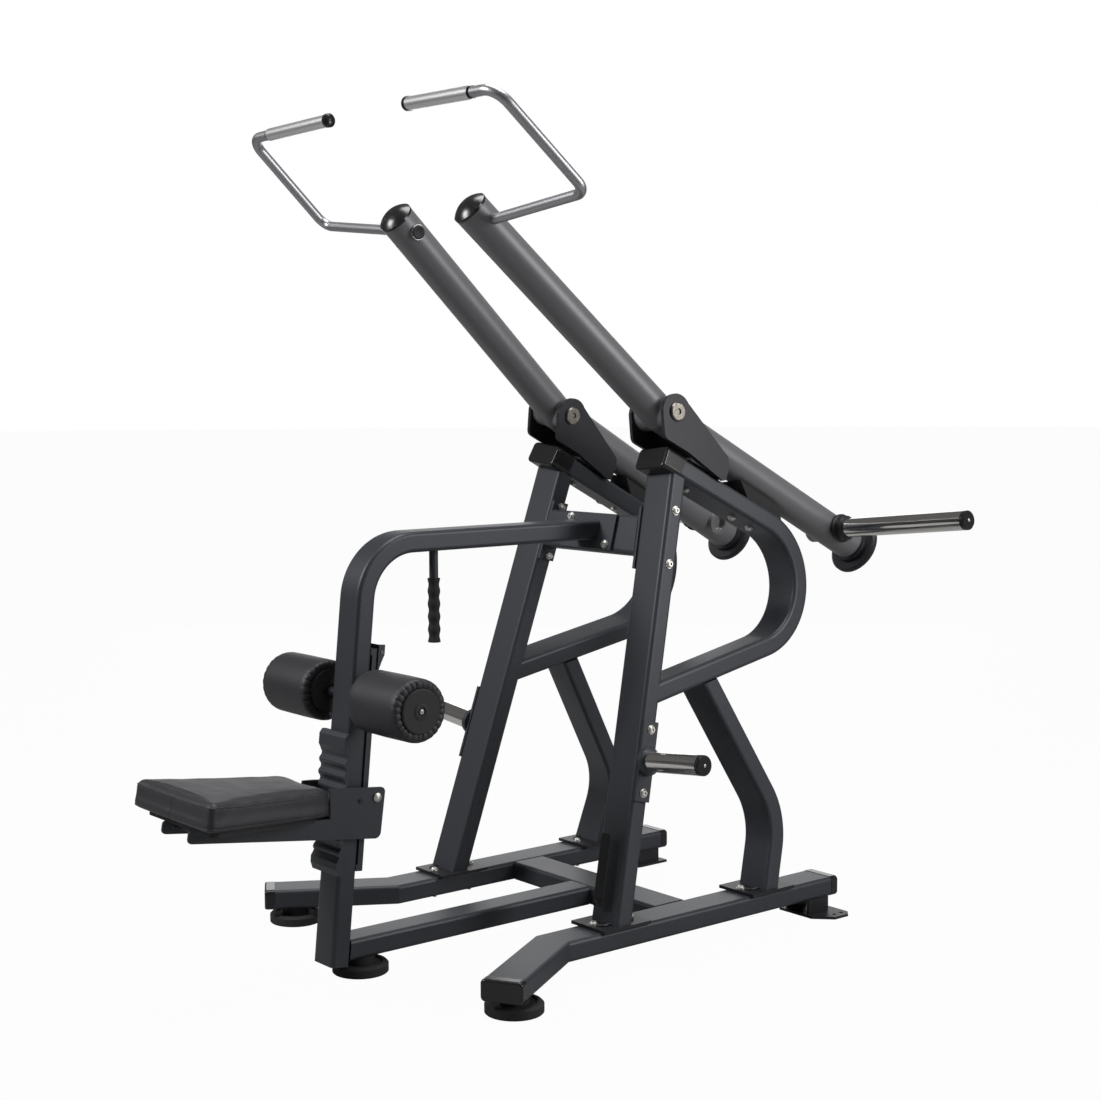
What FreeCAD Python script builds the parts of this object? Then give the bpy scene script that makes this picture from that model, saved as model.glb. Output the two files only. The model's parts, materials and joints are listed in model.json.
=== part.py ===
import FreeCAD, Part
import math
import os
import Sketcher
from FreeCAD import Placement, Rotation, Vector

# Plate-loaded lat pulldown machine: a welded and bolted steel frame, two lever arms that
# turn on the frame, a seat that slides on its post and two thigh rollers.
# X is across the machine (+X is the sitter's right), Y runs from the seat to the weights,
# Z is up. The origin is the centre of the front foot's underside, on the floor.
# Pieces are drawn with y = 0 at the front face of the base crossbar, and `at` moves them.

doc = FreeCAD.newDocument("lat_pulldown")

# ------------------------------------------------------------------ driving sizes (mm, degrees)
SIZES = [
    ("tube_wide", 100, "long side of the frame tube"),
    ("tube_deep", 50, "short side of the frame tube"),
    ("tube_corner", 10, "outside corner radius of every rectangular tube"),
    ("tube_wall", 3, "wall of every rectangular tube"),
    ("plate_thick", 8, "welded end plates and base plates"),
    ("rail_offset", 333, "centre plane to the middle of a floor rail"),
    ("rail_bottom", 44, "floor to the underside of the rails"),
    ("rail_rear", 580, "rear end of a rail, its cap included"),
    ("rail_bend", -368.5, "y where the rail turns outward"),
    ("flare_length", 337, "bend to the front end, its cap included"),
    ("flare_angle", 31, "outward turn of the rail's front"),
    ("cap_length", 26, "end cap beyond the tube"),
    ("cap_lip", 1, "end cap proud of the tube"),
    ("crossbar_wide", 110, "base crossbar, front to rear"),
    ("post_wide", 84, "seat post and centre rail, across"),
    ("foot_y", -693, "centre of the front foot"),
    ("foot_wide", 136, "round rubber foot"),
    ("foot_disc", 25, "round foot's disc thickness"),
    ("foot_hub", 70, "round foot's hub diameter"),
    ("foot_on_flare", 256, "bend to the side feet, along the flare"),
    ("side_lean", 6, "side frames lean inward from upright"),
    ("upright_lean", 14.76, "uprights lean rearward"),
    ("upright_y", -183, "upright centreline at rail-top level"),
    ("base_plate_x", 125, "base plate, across"),
    ("base_plate_y", 150, "base plate, along the rail"),
    ("leg_foot_y", 326.5, "rear leg's base plate centre"),
    ("top_slope", 26.57, "side tube's top run falls rearward"),
    ("top_y", 378, "reference point on the top run: y"),
    ("top_w", 972, "reference point on the top run: height in the side plane"),
    ("top_front", 68, "front end of the side tube"),
    ("loop_radius", 172, "side tube's rear bend, centreline"),
    ("loop_y", 421.7, "where the top run meets the rear bend: y"),
    ("strut_slope", 11.2, "side tube's lower run falls forward"),
    ("leg_radius", 190, "rear leg's bend, centreline"),
    ("leg_top_y", 150, "rear leg's upper end on the lower run"),
    ("leg_knee_y", 380.1, "corner of the rear leg's centreline: y"),
    ("leg_knee_w", 183.8, "corner of the rear leg's centreline: height"),
    ("upper_bar_w", 930, "upper crossbar centre, height in the side plane"),
    ("bar_plate_tall", 160, "upper crossbar's end plates"),
    ("flange_wide", 200, "seat tube flange, across"),
    ("flange_tall", 92, "seat tube flange, height"),
    ("post_y", -779, "seat post centreline at floor level"),
    ("post_lean", 5.72, "seat post leans rearward"),
    ("post_bottom", 35, "lower end of the seat post"),
    ("post_radius", 140, "seat tube's bend, centreline"),
    ("post_top", 1030.5, "seat tube's level run, centre height"),
    ("pivot_y", 94.5, "arm pivot: y"),
    ("pivot_w", 1241.5, "arm pivot: height in the side plane"),
    ("ear_gap", 110, "between the pivot bracket's ears"),
    ("ear_thick", 10, "pivot bracket ear"),
    ("ear_round", 46, "radius of the ear about the pivot"),
    ("pin_wide", 30, "pivot pin diameter"),
    ("pin_head", 48, "pivot pin's bolt cap diameter"),
    ("arm_wide", 88.9, "arm tube diameter"),
    ("arm_wall", 3, "arm tube wall"),
    ("arm_front", 737, "pivot to the front end of the arm tube"),
    ("arm_rear", 765, "pivot to the rear end of the arm tube"),
    ("arm_rise", 41.4, "arm's front part above level"),
    ("arm_fall", 28.4, "arm's rear part below level"),
    ("boss_wide", 78, "arm's cross boss at the pivot"),
    ("dome_rise", 18, "arm's front cap"),
    ("disc_wide", 150, "arm's rear disc"),
    ("disc_thick", 18, "arm's rear disc"),
    ("horn_at", 675.6, "pivot to the weight horn, along the rear part"),
    ("horn_wide", 50, "weight horn diameter"),
    ("horn_reach", 463, "arm axis to the end of the horn's sleeve"),
    ("horn_cap_wide", 50, "horn's end cap"),
    ("horn_cap_long", 12, "horn's end cap"),
    ("handle_wide", 25, "handle tube diameter"),
    ("handle_wall", 2, "handle tube wall"),
    ("handle_at", 692, "pivot to the handle's root, along the front part"),
    ("handle_out", 375, "handle's reach outboard"),
    ("handle_up", 310, "handle's run along the arm"),
    ("handle_in", 345, "handle's inward leg"),
    ("grip_wide", 31, "grip sleeve diameter"),
    ("grip_long", 255, "grip sleeve length"),
    ("stop_wide", 76, "rubber bump stop, across"),
    ("peg_plate_tall", 197, "storage peg's back plate, height"),
    ("peg_w", 388, "storage peg, height in the side plane"),
    ("peg_wide", 50, "storage peg sleeve diameter"),
    ("peg_long", 192, "storage peg sleeve length"),
    ("roller_wide", 148, "thigh roller diameter"),
    ("roller_long", 203, "thigh roller length"),
    ("roller_gap", 88, "centre plane to a roller's inner end"),
    ("roller_z", 673, "roller axle height"),
    ("axle_wide", 25, "roller axle diameter"),
    ("rack_wide", 112, "seat rack, across"),
    ("rack_low", 256, "rack's lower end, along the post"),
    ("rack_teeth", 8, "teeth on the rack"),
    ("rack_pitch", 30, "tooth to tooth"),
    ("seat_plate", 6, "seat side plates"),
    ("seat_gap", 115, "between the seat side plates"),
    ("seat_front", -1195, "front edge of the seat pad"),
    ("seat_back", -825, "rear edge of the seat pad"),
    ("pad_front_wide", 376, "seat pad's front edge"),
    ("pad_back_wide", 226, "seat pad's rear edge"),
    ("pad_thick", 67, "seat pad thickness"),
    ("run_fit", 0.05, "running clearance, on the radius"),
    ("free_gap", 0.4, "between pieces that move past each other"),
]

sheet = doc.addObject("Spreadsheet::Sheet", "sizes")
for row, (alias, value, note) in enumerate(SIZES, start=1):
    sheet.set(f"A{row}", note)
    sheet.set(f"B{row}", str(value))
    sheet.setAlias(f"B{row}", alias)
doc.recompute()


def mm(alias):
    """The value of one named cell."""
    return float(sheet.get(alias))


# ------------------------------------------------------------------ frames
REAR, UP = Vector(0, 1, 0), Vector(0, 0, 1)
RAIL_TOP = mm("rail_bottom") + mm("tube_deep")


def at(x=0, y=0, z=0, rotation=Rotation()):
    """A placement given from the base crossbar's front face."""
    return Placement(Vector(x, y - mm("foot_y"), z), rotation)


# The right side plane: local X is outboard, Y rearward, Z up the leaning side frame.
SIDE = at(mm("rail_offset"), 0, RAIL_TOP, Rotation(REAR, -mm("side_lean")))
# The post: local Z runs up the leaning seat post, Y is square to it.
POST = at(0, mm("post_y"), 0, Rotation(Vector(1, 0, 0), -mm("post_lean")))
# The right arm: the side plane with its origin on the pivot.
ARM = SIDE * Placement(Vector(0, mm("pivot_y"), mm("pivot_w")), Rotation())


def tilt(angle):
    """Turn about X that takes Z to the direction `angle` above +Y."""
    return Rotation(Vector(1, 0, 0), angle - 90)


def toward(angle):
    """Unit vector in the YZ plane, `angle` above +Y."""
    return Vector(0, math.cos(math.radians(angle)), math.sin(math.radians(angle)))


# ------------------------------------------------------------------ building helpers
nodes = {}


def keep(node, shape_object):
    """Give a finished sub-part the label that names its file."""
    shape_object.Label = node
    nodes[node] = shape_object
    return shape_object


def bind(feature, **formulas):
    """Tie properties to sheet formulas written with bare cell names."""
    for prop, formula in formulas.items():
        words = formula.split()
        named = ["sizes." + word if word[0].isalpha() else word for word in words]
        feature.setExpression(prop, " ".join(named))
    return feature


def new_body(name, placement):
    body = doc.addObject("PartDesign::Body", name)
    body.Placement = placement
    return body


def new_sketch(body, plane, offset=Placement()):
    sketch = body.newObject("Sketcher::SketchObject", body.Name + "_sketch")
    role = plane + "_Plane"
    face = next(f for f in body.Origin.OriginFeatures if f.Role == role)
    sketch.AttachmentSupport = (face, [""])
    sketch.MapMode = "FlatFace"
    sketch.AttachmentOffset = offset
    return sketch


def draw_rounded_box(sketch, wide, tall, corner, inset=""):
    """A rectangle with round corners about the sketch origin, bound to the sheet."""
    half_w, half_t = f"{wide} / 2 {inset}", f"{tall} / 2 {inset}"
    radius = f"{corner} {inset}"
    thick = mm("tube_wall") if inset else 0
    x, y = mm(wide) / 2 - thick, mm(tall) / 2 - thick
    r = mm(corner) - thick
    first = sketch.GeometryCount
    corners = [(x - r, -y + r, -90), (x - r, y - r, 0), (-x + r, y - r, 90), (-x + r, -y + r, 180)]
    runs = [((-x + r, -y), (x - r, -y)), ((x, -y + r), (x, y - r)),
            ((x - r, y), (-x + r, y)), ((-x, y - r), (-x, -y + r))]
    for (a, b), (cx, cy, start) in zip(runs, corners):
        sketch.addGeometry(Part.LineSegment(Vector(*a, 0), Vector(*b, 0)))
        circle = Part.Circle(Vector(cx, cy, 0), UP, r)
        sketch.addGeometry(Part.ArcOfCircle(circle, math.radians(start), math.radians(start + 90)))
    for side in range(4):
        line, arc = first + 2 * side, first + 2 * side + 1
        following = first + (2 * side + 2) % 8
        sketch.addConstraint(Sketcher.Constraint("Tangent", line, 2, arc, 1))
        sketch.addConstraint(Sketcher.Constraint("Tangent", arc, 2, following, 1))
        if side:
            sketch.addConstraint(Sketcher.Constraint("Equal", first + 1, arc))
    sketch.addConstraint(Sketcher.Constraint("Horizontal", first))
    sketch.addConstraint(Sketcher.Constraint("Vertical", first + 2))
    sketch.addConstraint(Sketcher.Constraint("Horizontal", first + 4))
    sizes = [("DistanceY", (first, 1, -1, 1, y), half_t), ("DistanceX", (-1, 1, first + 2, 1, x), half_w),
             ("DistanceY", (-1, 1, first + 4, 1, y), half_t), ("DistanceX", (first + 6, 1, -1, 1, x), half_w),
             ("Radius", (first + 1, r), radius)]
    for kind, terms, formula in sizes:
        index = sketch.addConstraint(Sketcher.Constraint(kind, *terms))
        bind(sketch, **{f"Constraints[{index}]": formula})


def draw_tube_section(sketch, wide, deep):
    draw_rounded_box(sketch, wide, deep, "tube_corner")
    draw_rounded_box(sketch, wide, deep, "tube_corner", "- tube_wall")


def pad(body, sketch, length, backward=False):
    feature = body.newObject("PartDesign::Pad", body.Name + "_pad")
    feature.Profile = sketch
    feature.Reversed = backward
    bind(feature, Length=length)
    sketch.Visibility = False
    return feature


def straight_tube(name, placement, length, wide="tube_wide", deep="tube_deep"):
    """A rectangular tube from its own origin along local Z."""
    body = new_body(name, placement)
    sketch = new_sketch(body, "XY")
    draw_tube_section(sketch, wide, deep)
    pad(body, sketch, length)
    return body


def bar(name, placement, length, wide="tube_wide", deep="tube_deep"):
    """The tube's outer envelope, filled, for cutting what meets it."""
    body = new_body(name, placement)
    sketch = new_sketch(body, "XY")
    draw_rounded_box(sketch, wide, deep, "tube_corner")
    pad(body, sketch, length)
    return body


def rounded_route(points, radius):
    """Lines through the points, joined by tangent arcs; returns the sketch geometry."""
    pieces, last = [], points[0]
    for before, corner, after in zip(points, points[1:], points[2:]):
        back, ahead = (before - corner).normalize(), (after - corner).normalize()
        half = back.getAngle(ahead) / 2
        reach = radius / math.tan(half)
        middle = corner + (back + ahead).normalize() * (radius / math.sin(half) - radius)
        start, end = corner + back * reach, corner + ahead * reach
        pieces.append(Part.LineSegment(last, start))
        pieces.append(Part.Arc(start, middle, end))
        last = end
    pieces.append(Part.LineSegment(last, points[-1]))
    return pieces


def flat(vector):
    """A YZ vector as sketch coordinates on the YZ plane."""
    return Vector(vector.y, vector.z, 0)


def bent_tube(name, placement, points, radius, wide="tube_wide", deep="tube_deep", draw=draw_tube_section):
    """A rectangular tube swept along a route in the local YZ plane."""
    body = new_body(name, placement)
    route = new_sketch(body, "YZ")
    for piece in rounded_route([flat(p) for p in points], radius):
        route.addGeometry(piece)
    first = points[1] - points[0]
    angle = math.degrees(math.atan2(first.z, first.y))
    section = new_sketch(body, "XY", Placement(points[0], tilt(angle)))
    draw(section, wide, deep)
    doc.recompute()
    pipe = body.newObject("PartDesign::AdditivePipe", name + "_pipe")
    pipe.Profile = section
    pipe.Spine = (route, [])
    return body


def closed_outline(corners):
    """Corners as (y, z, radius): straight sides joined by arcs, as edges in the YZ plane."""
    count, arcs = len(corners), []
    for index, (y, z, radius) in enumerate(corners):
        corner = Vector(0, y, z)
        before = Vector(0, *corners[index - 1][:2])
        after = Vector(0, *corners[(index + 1) % count][:2])
        back, ahead = (before - corner).normalize(), (after - corner).normalize()
        half = back.getAngle(ahead) / 2
        reach = radius / math.tan(half)
        middle = corner + (back + ahead).normalize() * (radius / math.sin(half) - radius)
        arcs.append((corner + back * reach, middle, corner + ahead * reach, radius))
    edges = []
    for index, (start, middle, end, radius) in enumerate(arcs):
        if radius:
            edges.append(Part.Arc(start, middle, end))
        edges.append(Part.LineSegment(end, arcs[(index + 1) % count][0]))
    return edges


def plate(name, placement, corners, x_from, thickness):
    """A flat plate: an outline in the local YZ plane, padded outward from x_from."""
    body = new_body(name, placement)
    sketch = new_sketch(body, "YZ", Placement(Vector(0, 0, x_from), Rotation()))
    for edge in closed_outline(corners):
        shape = edge.toShape()
        shape.transformShape(FreeCAD.Matrix(0, 1, 0, 0, 0, 0, 1, 0, 1, 0, 0, 0, 0, 0, 0, 1))
        sketch.addGeometry(Part.LineSegment(shape.Vertexes[0].Point, shape.Vertexes[1].Point)
                           if isinstance(edge, Part.LineSegment) else
                           Part.Arc(shape.Vertexes[0].Point, shape.valueAt(
                               (shape.FirstParameter + shape.LastParameter) / 2), shape.Vertexes[1].Point))
    pad(body, sketch, thickness)
    return body


def rod(name, placement, radius, length):
    """A round bar from its own origin along local Z."""
    cylinder = doc.addObject("Part::Cylinder", name)
    cylinder.Placement = placement
    bind(cylinder, Radius=radius, Height=length)
    return cylinder


def block(name, placement, length, width, height):
    """A box centred on its origin in X and Y, from Z = 0 up, sizes as formulas."""
    box = doc.addObject("Part::Box", name)
    bind(box, Length=length, Width=width, Height=height)
    doc.recompute()
    box.Placement = placement * Placement(Vector(-box.Length.Value / 2, -box.Width.Value / 2, 0), Rotation())
    return box


def half_space(name, placement):
    """Everything on the local +Z side of a plane, for trimming."""
    reach = 3000
    box = doc.addObject("Part::Box", name)
    box.Length, box.Width, box.Height = reach, reach, reach
    box.Placement = placement * Placement(Vector(-reach / 2, -reach / 2, 0), Rotation())
    return box


def solid(name, shape, placement=Placement()):
    feature = doc.addObject("Part::Feature", name)
    feature.Shape = shape
    feature.Placement = placement * shape.Placement
    return feature


def cut(name, base, *tools):
    for index, tool in enumerate(tools):
        result = doc.addObject("Part::Cut", f"{name}_{index}")
        result.Base, result.Tool = base, tool
        base = result
    return base


def fuse(name, *pieces):
    result = doc.addObject("Part::MultiFuse", name)
    result.Shapes = list(pieces)
    return result


def group(name, *pieces):
    """Separate solids that share one node."""
    result = doc.addObject("Part::Compound", name)
    result.Links = list(pieces)
    return result


def mirrored(name, source):
    """The same piece on the left side."""
    result = doc.addObject("Part::Mirroring", name)
    result.Source = source
    result.Base, result.Normal = Vector(0, 0, 0), Vector(1, 0, 0)
    return result


def both_sides(node, source):
    keep(node, group(node, source, mirrored(node + "_mirror", source)))


def right_and_left(node, source):
    keep(node + "_right", source)
    keep(node + "_left", mirrored(node + "_left", source))


def tube_along(points, radius_of, outside, bore):
    """A round tube on a 3-D route whose corners have their own bend radii."""
    pieces, last = [], points[0]
    for index, radius in enumerate(radius_of, start=1):
        run = rounded_route([last, points[index], points[index + 1]], radius)
        pieces += run[:2]
        last = pieces[-1].EndPoint
    pieces.append(Part.LineSegment(last, points[-1]))
    wire = Part.Wire([piece.toShape() for piece in pieces])
    heading = points[1] - points[0]
    shells = [wire.makePipeShell([Part.Wire(Part.makeCircle(r, points[0], heading))], True, True)
              for r in (outside / 2, bore / 2)]
    return shells[0].cut(shells[1])


def turned(profile, axis_point=Vector(0, 0, 0), axis=UP):
    """A solid of revolution from (radius, z) points about local Z."""
    points = [Vector(r, 0, z) for r, z in profile]
    face = Part.Face(Part.makePolygon(points + [points[0]]))
    return face.revolve(axis_point, axis, 360)


# ------------------------------------------------------------------ fasteners
BOLT = {"shank": 10, "head": 19, "rise": 6, "socket": 3.5, "washer": 23, "washer_thick": 2}


def bolt_shape(length, scale=1.0):
    """A button-head bolt with its washer: seat at Z = 0, head up, shank down."""
    thick = BOLT["washer_thick"] * scale
    washer = Part.makeCylinder(BOLT["washer"] / 2 * scale, thick)
    rise, radius = BOLT["rise"] * scale, BOLT["head"] / 2 * scale
    head = turned([(0, thick), (radius, thick), (radius, thick + rise * 0.45),
                   (radius * 0.72, thick + rise), (0, thick + rise)])
    socket = Part.makeCylinder(BOLT["socket"] * scale, rise, Vector(0, 0, thick + rise * 0.5))
    shank = Part.makeCylinder(BOLT["shank"] / 2 * scale, length + thick, Vector(0, 0, -length))
    return washer.fuse([head, shank]).cut(socket)


def nut_shape(scale=1.0):
    """A hexagon nut: seat at Z = 0, standing up, with a bore for the shank."""
    flats, tall = 17 * scale, 8 * scale
    corners = [Vector(flats / math.sqrt(3), 0, 0)]
    corners += [Rotation(UP, 60 * i).multVec(corners[0]) for i in range(1, 7)]
    body = Part.Face(Part.makePolygon(corners)).extrude(Vector(0, 0, tall))
    return body.cut(Part.makeCylinder(BOLT["shank"] / 2 * scale, tall))


def placed(shape, placement):
    moved = shape.copy()
    moved.Placement = placement
    return moved


def hole(placement, length, diameter=BOLT["shank"]):
    """A hole tool, centred on the seat plane, reaching `length` both ways."""
    tool = Part.makeCylinder(diameter / 2, 2 * length, Vector(0, 0, -length))
    tool.Placement = placement
    return tool


def facing(position, direction):
    """A placement whose Z points along direction."""
    return Placement(position, Rotation(UP, direction))


# ================================================================== BASE
HALF_WIDE, HALF_DEEP = mm("tube_wide") / 2, mm("tube_deep") / 2
RAIL_MID = mm("rail_bottom") + HALF_DEEP
flare = Rotation(UP, -mm("flare_angle")).multVec(-REAR)
flare = Vector(abs(flare.x), flare.y, 0)
bend_point = Vector(0, mm("rail_bend"), 0)
flare_tip = bend_point + flare * (mm("flare_length") - mm("cap_length"))
rail_end = mm("rail_rear") - mm("cap_length")

# The straight run and the flare are mitred and welded at the bend.
rail_frame = at(mm("rail_offset"), 0, RAIL_MID)
level_z = Rotation(Vector(1, 0, 0), -90)
straight = straight_tube("rail_run", rail_frame * Placement(Vector(0, mm("rail_bend") - 60, 0), level_z),
                         "rail_rear - rail_bend - cap_length + 60")
flare_turn = Rotation(UP, mm("flare_angle")) * Rotation(Vector(1, 0, 0), 90)
flared = straight_tube("rail_flare", rail_frame * Placement(bend_point - flare * 60, flare_turn),
                       "flare_length - cap_length + 60")
mitre_normal = Rotation(UP, mm("flare_angle") / 2).multVec(REAR)
mitre = rail_frame * facing(bend_point, -mitre_normal)
back_mitre = rail_frame * facing(bend_point, mitre_normal)
rail_cut = cut("rail_straight", straight, half_space("rail_front_half", mitre))
flare_cut = cut("rail_flared", flared, half_space("rail_rear_half", back_mitre))
rail_solid = fuse("rail_welded", rail_cut, flare_cut)


def end_cap(name, placement):
    """A moulded cap for a tube's end: tube outline plus a lip, with a domed edge."""
    wide, deep = mm("tube_wide") + 2 * mm("cap_lip"), mm("tube_deep") + 2 * mm("cap_lip")
    block_shape = Part.makeBox(wide, deep, mm("cap_length"), Vector(-wide / 2, -deep / 2, 0))
    upright_edges = [e for e in block_shape.Edges if abs(e.tangentAt(0).z) > 0.9]
    rounded = block_shape.makeFillet(mm("tube_corner") + mm("cap_lip"), upright_edges)
    top = max(rounded.Faces, key=lambda f: f.CenterOfMass.z)
    rounded = rounded.makeFillet(6, top.Edges)
    return solid(name, rounded, placement)


rear_cap = end_cap("rail_cap_rear", rail_frame * Placement(Vector(0, rail_end, 0), level_z))
front_cap = end_cap("rail_cap_front", rail_frame * Placement(flare_tip, flare_turn))

# Crossbar between the rails, and the centre rail forward to the seat post.
inner_rail = mm("rail_offset") - HALF_WIDE
across = Rotation(Vector(0, 1, 0), 90) * Rotation(UP, 90)
crossbar_mid = mm("crossbar_wide") / 2
bind_span = "2 * rail_offset - tube_wide"
crossbar = straight_tube("crossbar_run", at(-inner_rail, crossbar_mid, RAIL_MID, across), bind_span,
                         "crossbar_wide", "tube_deep")
keep("base_crossbar", crossbar)

post_dir = toward(90 - mm("post_lean"))
post_foot = Vector(0, mm("post_y"), 0)


def on_post(height):
    """Point of the post's centreline at a height above the floor."""
    return post_foot + post_dir * (height / post_dir.z)


post_back_y = on_post(RAIL_MID).y + HALF_DEEP / math.cos(math.radians(mm("post_lean")))
center = straight_tube("center_run", at(0, 0, RAIL_MID, Rotation(Vector(1, 0, 0), 90)), "0 - post_y",
                       "post_wide", "tube_deep")
post_rear_face = POST * facing(Vector(0, HALF_DEEP, 0), -REAR)
keep("center_rail", cut("center_cut", center, half_space("center_trim", post_rear_face)))

# Feet: rubber discs under the front, bolted brackets under the rear.
foot_radius, hub_radius = mm("foot_wide") / 2, mm("foot_hub") / 2
disc, bevel = mm("foot_disc"), 5
foot_profile = [(0, 0), (foot_radius - 2, 0), (foot_radius, 2), (foot_radius, disc - bevel),
                (foot_radius - bevel, disc), (foot_radius - 14, disc), (foot_radius - 17, disc - 3),
                (hub_radius, disc - 3), (hub_radius, mm("rail_bottom")), (0, mm("rail_bottom"))]
side_foot = bend_point + flare * mm("foot_on_flare") + Vector(mm("rail_offset"), 0, 0)
front_foot = solid("foot_front", turned(foot_profile), at(0, mm("foot_y")))
right_foot = solid("foot_right", turned(foot_profile), at(side_foot.x, side_foot.y))
keep("round_feet", group("feet", front_foot, right_foot, mirrored("foot_left", right_foot)))


def rear_foot():
    """Floor plate with cut corners and two webs that carry the rail."""
    thick, web, gap = 7, 6, 35
    front, rear = mm("rail_rear") - 116, mm("rail_rear") - 6
    inner, outer = -HALF_WIDE - 3, HALF_WIDE + 56
    corner = 44
    outline = [Vector(inner, front, 0), Vector(outer - corner, front, 0), Vector(outer, front + corner, 0),
               Vector(outer, rear - 16, 0), Vector(outer - 16, rear, 0), Vector(inner, rear, 0)]
    floor = Part.Face(Part.makePolygon(outline + outline[:1])).extrude(Vector(0, 0, thick))
    tall = mm("rail_bottom") - thick
    web_long = mm("rail_rear") - mm("cap_length") - 2 - (front + 12)
    webs = [Part.makeBox(web, web_long, tall, Vector(x, front + 12, thick))
            for x in (-gap - web, gap)]
    holes = [hole(Placement(Vector(outer - 20, y, 0), Rotation()), 20, 12) for y in (front + 62, rear - 22)]
    return floor.fuse(webs).cut(holes)


both_sides("rear_feet", solid("rear_foot", rear_foot(), at(mm("rail_offset"))))

# ================================================================== SIDE FRAMES
upright_dir = toward(90 - mm("upright_lean"))
upright_zero = Vector(0, mm("upright_y"), 0)


def on_upright(w):
    """Point of the upright's centreline at height w in the side plane."""
    return upright_zero + upright_dir * (w / upright_dir.z)


rail_deck = RAIL_TOP + mm("plate_thick")
below_deck = at(mm("rail_offset"), 0, rail_deck, Rotation(Vector(1, 0, 0), 180))
top_dir = toward(-mm("top_slope"))
top_ref = Vector(0, mm("top_y"), mm("top_w"))
top_normal = toward(90 - mm("top_slope"))
strut_dir = toward(180 + mm("strut_slope"))


def on_top(y):
    """Point of the side tube's top centreline at y."""
    return top_ref + top_dir * ((y - mm("top_y")) / top_dir.y)


strut_normal = toward(mm("strut_slope") - 90)
loop_start = on_top(mm("loop_y"))
loop = loop_start - top_normal * mm("loop_radius")
loop_end = loop + strut_normal * mm("loop_radius")


def on_strut(y):
    """Point of the side tube's lower centreline at y."""
    return loop_end + strut_dir * ((y - loop_end.y) / strut_dir.y)


def crossing(start, direction, other, other_direction):
    """Where two lines in the YZ plane meet."""
    offset = other - start
    det = direction.y * -other_direction.z + direction.z * other_direction.y
    along = (offset.y * -other_direction.z + offset.z * other_direction.y) / det
    return start + direction * along


loop_corner = crossing(loop_start, top_dir, loop_end, -strut_dir)
strut_root = crossing(loop_end, strut_dir, upright_zero, upright_dir)
side_route = [on_top(mm("top_front")), loop_corner, strut_root]
side_body = bent_tube("side_tube", SIDE, side_route, mm("loop_radius"))

# The upright runs from its base plate to the underside of the side tube's top run.
under_top = SIDE * facing(top_ref - top_normal * HALF_DEEP, top_normal)
upright_bar = bar("upright_bar", SIDE * Placement(on_upright(-40), tilt(90 - mm("upright_lean"))),
                  "pivot_w + 100")
upright_filled = cut("upright_filled", upright_bar, half_space("bar_top_trim", under_top))
upright_run = straight_tube("upright_run", SIDE * Placement(on_upright(-40), tilt(90 - mm("upright_lean"))),
                            "pivot_w + 100")
# The rear leg runs from the underside of the lower run to its own base plate.
knee = Vector(0, mm("leg_knee_y"), mm("leg_knee_w"))
leg_top = on_strut(mm("leg_top_y"))
leg_foot = Vector(0, mm("leg_foot_y") - 3, -15)
leg_body = bent_tube("rear_leg", SIDE, [leg_top, knee, leg_foot], mm("leg_radius"))
under_strut = SIDE * facing(loop_end + strut_normal * HALF_DEEP, -strut_normal)

# Bolts through the upright: upper crossbar plates and the storage peg bracket.
bar_center = on_upright(mm("upper_bar_w"))
bar_bolt = mm("bar_plate_tall") / 2 - 12
peg_plate_tall, peg_bolt = mm("peg_plate_tall"), 78
peg_center = on_upright(mm("peg_w"))
outboard = Vector(1, 0, 0)
upright_face = outboard * HALF_WIDE
peg_thick = mm("plate_thick")
bar_seats = [facing(bar_center + upright_dir * s * bar_bolt + upright_face, outboard) for s in (1, -1)]
peg_seats = [facing(peg_center + upright_dir * s * peg_bolt + upright_face + outboard * peg_thick, outboard)
             for s in (1, -1)]
side_holes = Part.makeCompound([hole(p, 150) for p in bar_seats] + [hole(p, 30) for p in peg_seats])
upright = cut("upright_cut", upright_run, half_space("deck_trim", below_deck),
              half_space("top_trim", under_top), solid("upright_holes", side_holes, SIDE))

# Bolts up through the side tube's top run: pivot bracket and bump stop.
under_points = [on_top(y) - top_normal * HALF_DEEP for y in (190.7 - 12.5, 348.5 - 12.5, 408.6 - 12.5)]
under_seats = [facing(p, -top_normal) for p in under_points]
under_holes = Part.makeCompound([hole(p, mm("tube_deep") + 20) for p in under_seats])
side_tube = cut("side_tube_cut", side_body, upright_filled, solid("side_tube_holes", under_holes, SIDE))
rear_leg = cut("rear_leg_cut", leg_body, half_space("leg_deck_trim", below_deck),
               half_space("leg_top_trim", under_strut))

# ---- base plates, bolted down through the rails
upright_foot = on_upright(0)
plate_spots = [Vector(mm("rail_offset") - 5, upright_foot.y + 5, RAIL_TOP),
               Vector(mm("rail_offset") - 5, mm("leg_foot_y"), RAIL_TOP)]
plate_bolt = mm("base_plate_y") / 2 - 17


def base_plate(name, spot):
    box = block(name, at(spot.x, spot.y, spot.z), "base_plate_x", "base_plate_y", "plate_thick")
    tools = [hole(at(spot.x, spot.y + s * plate_bolt, spot.z), 30) for s in (1, -1)]
    return cut(name + "_cut", box, solid(name + "_holes", Part.makeCompound(tools)))


front_plate, back_plate = [base_plate(f"base_plate_{i}", s) for i, s in enumerate(plate_spots)]
keep("base_plates", group("base_plates", front_plate, back_plate,
                          mirrored("base_plate_2", front_plate), mirrored("base_plate_3", back_plate)))
rail_holes = [hole(at(s.x, s.y + e * plate_bolt, RAIL_TOP), 80) for s in plate_spots for e in (1, -1)]
right_and_left("rail", cut("rail_drilled", rail_solid, solid("rail_holes", Part.makeCompound(rail_holes))))
right_and_left("upright", upright)
right_and_left("side_tube", side_tube)
right_and_left("rear_leg", rear_leg)


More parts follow.
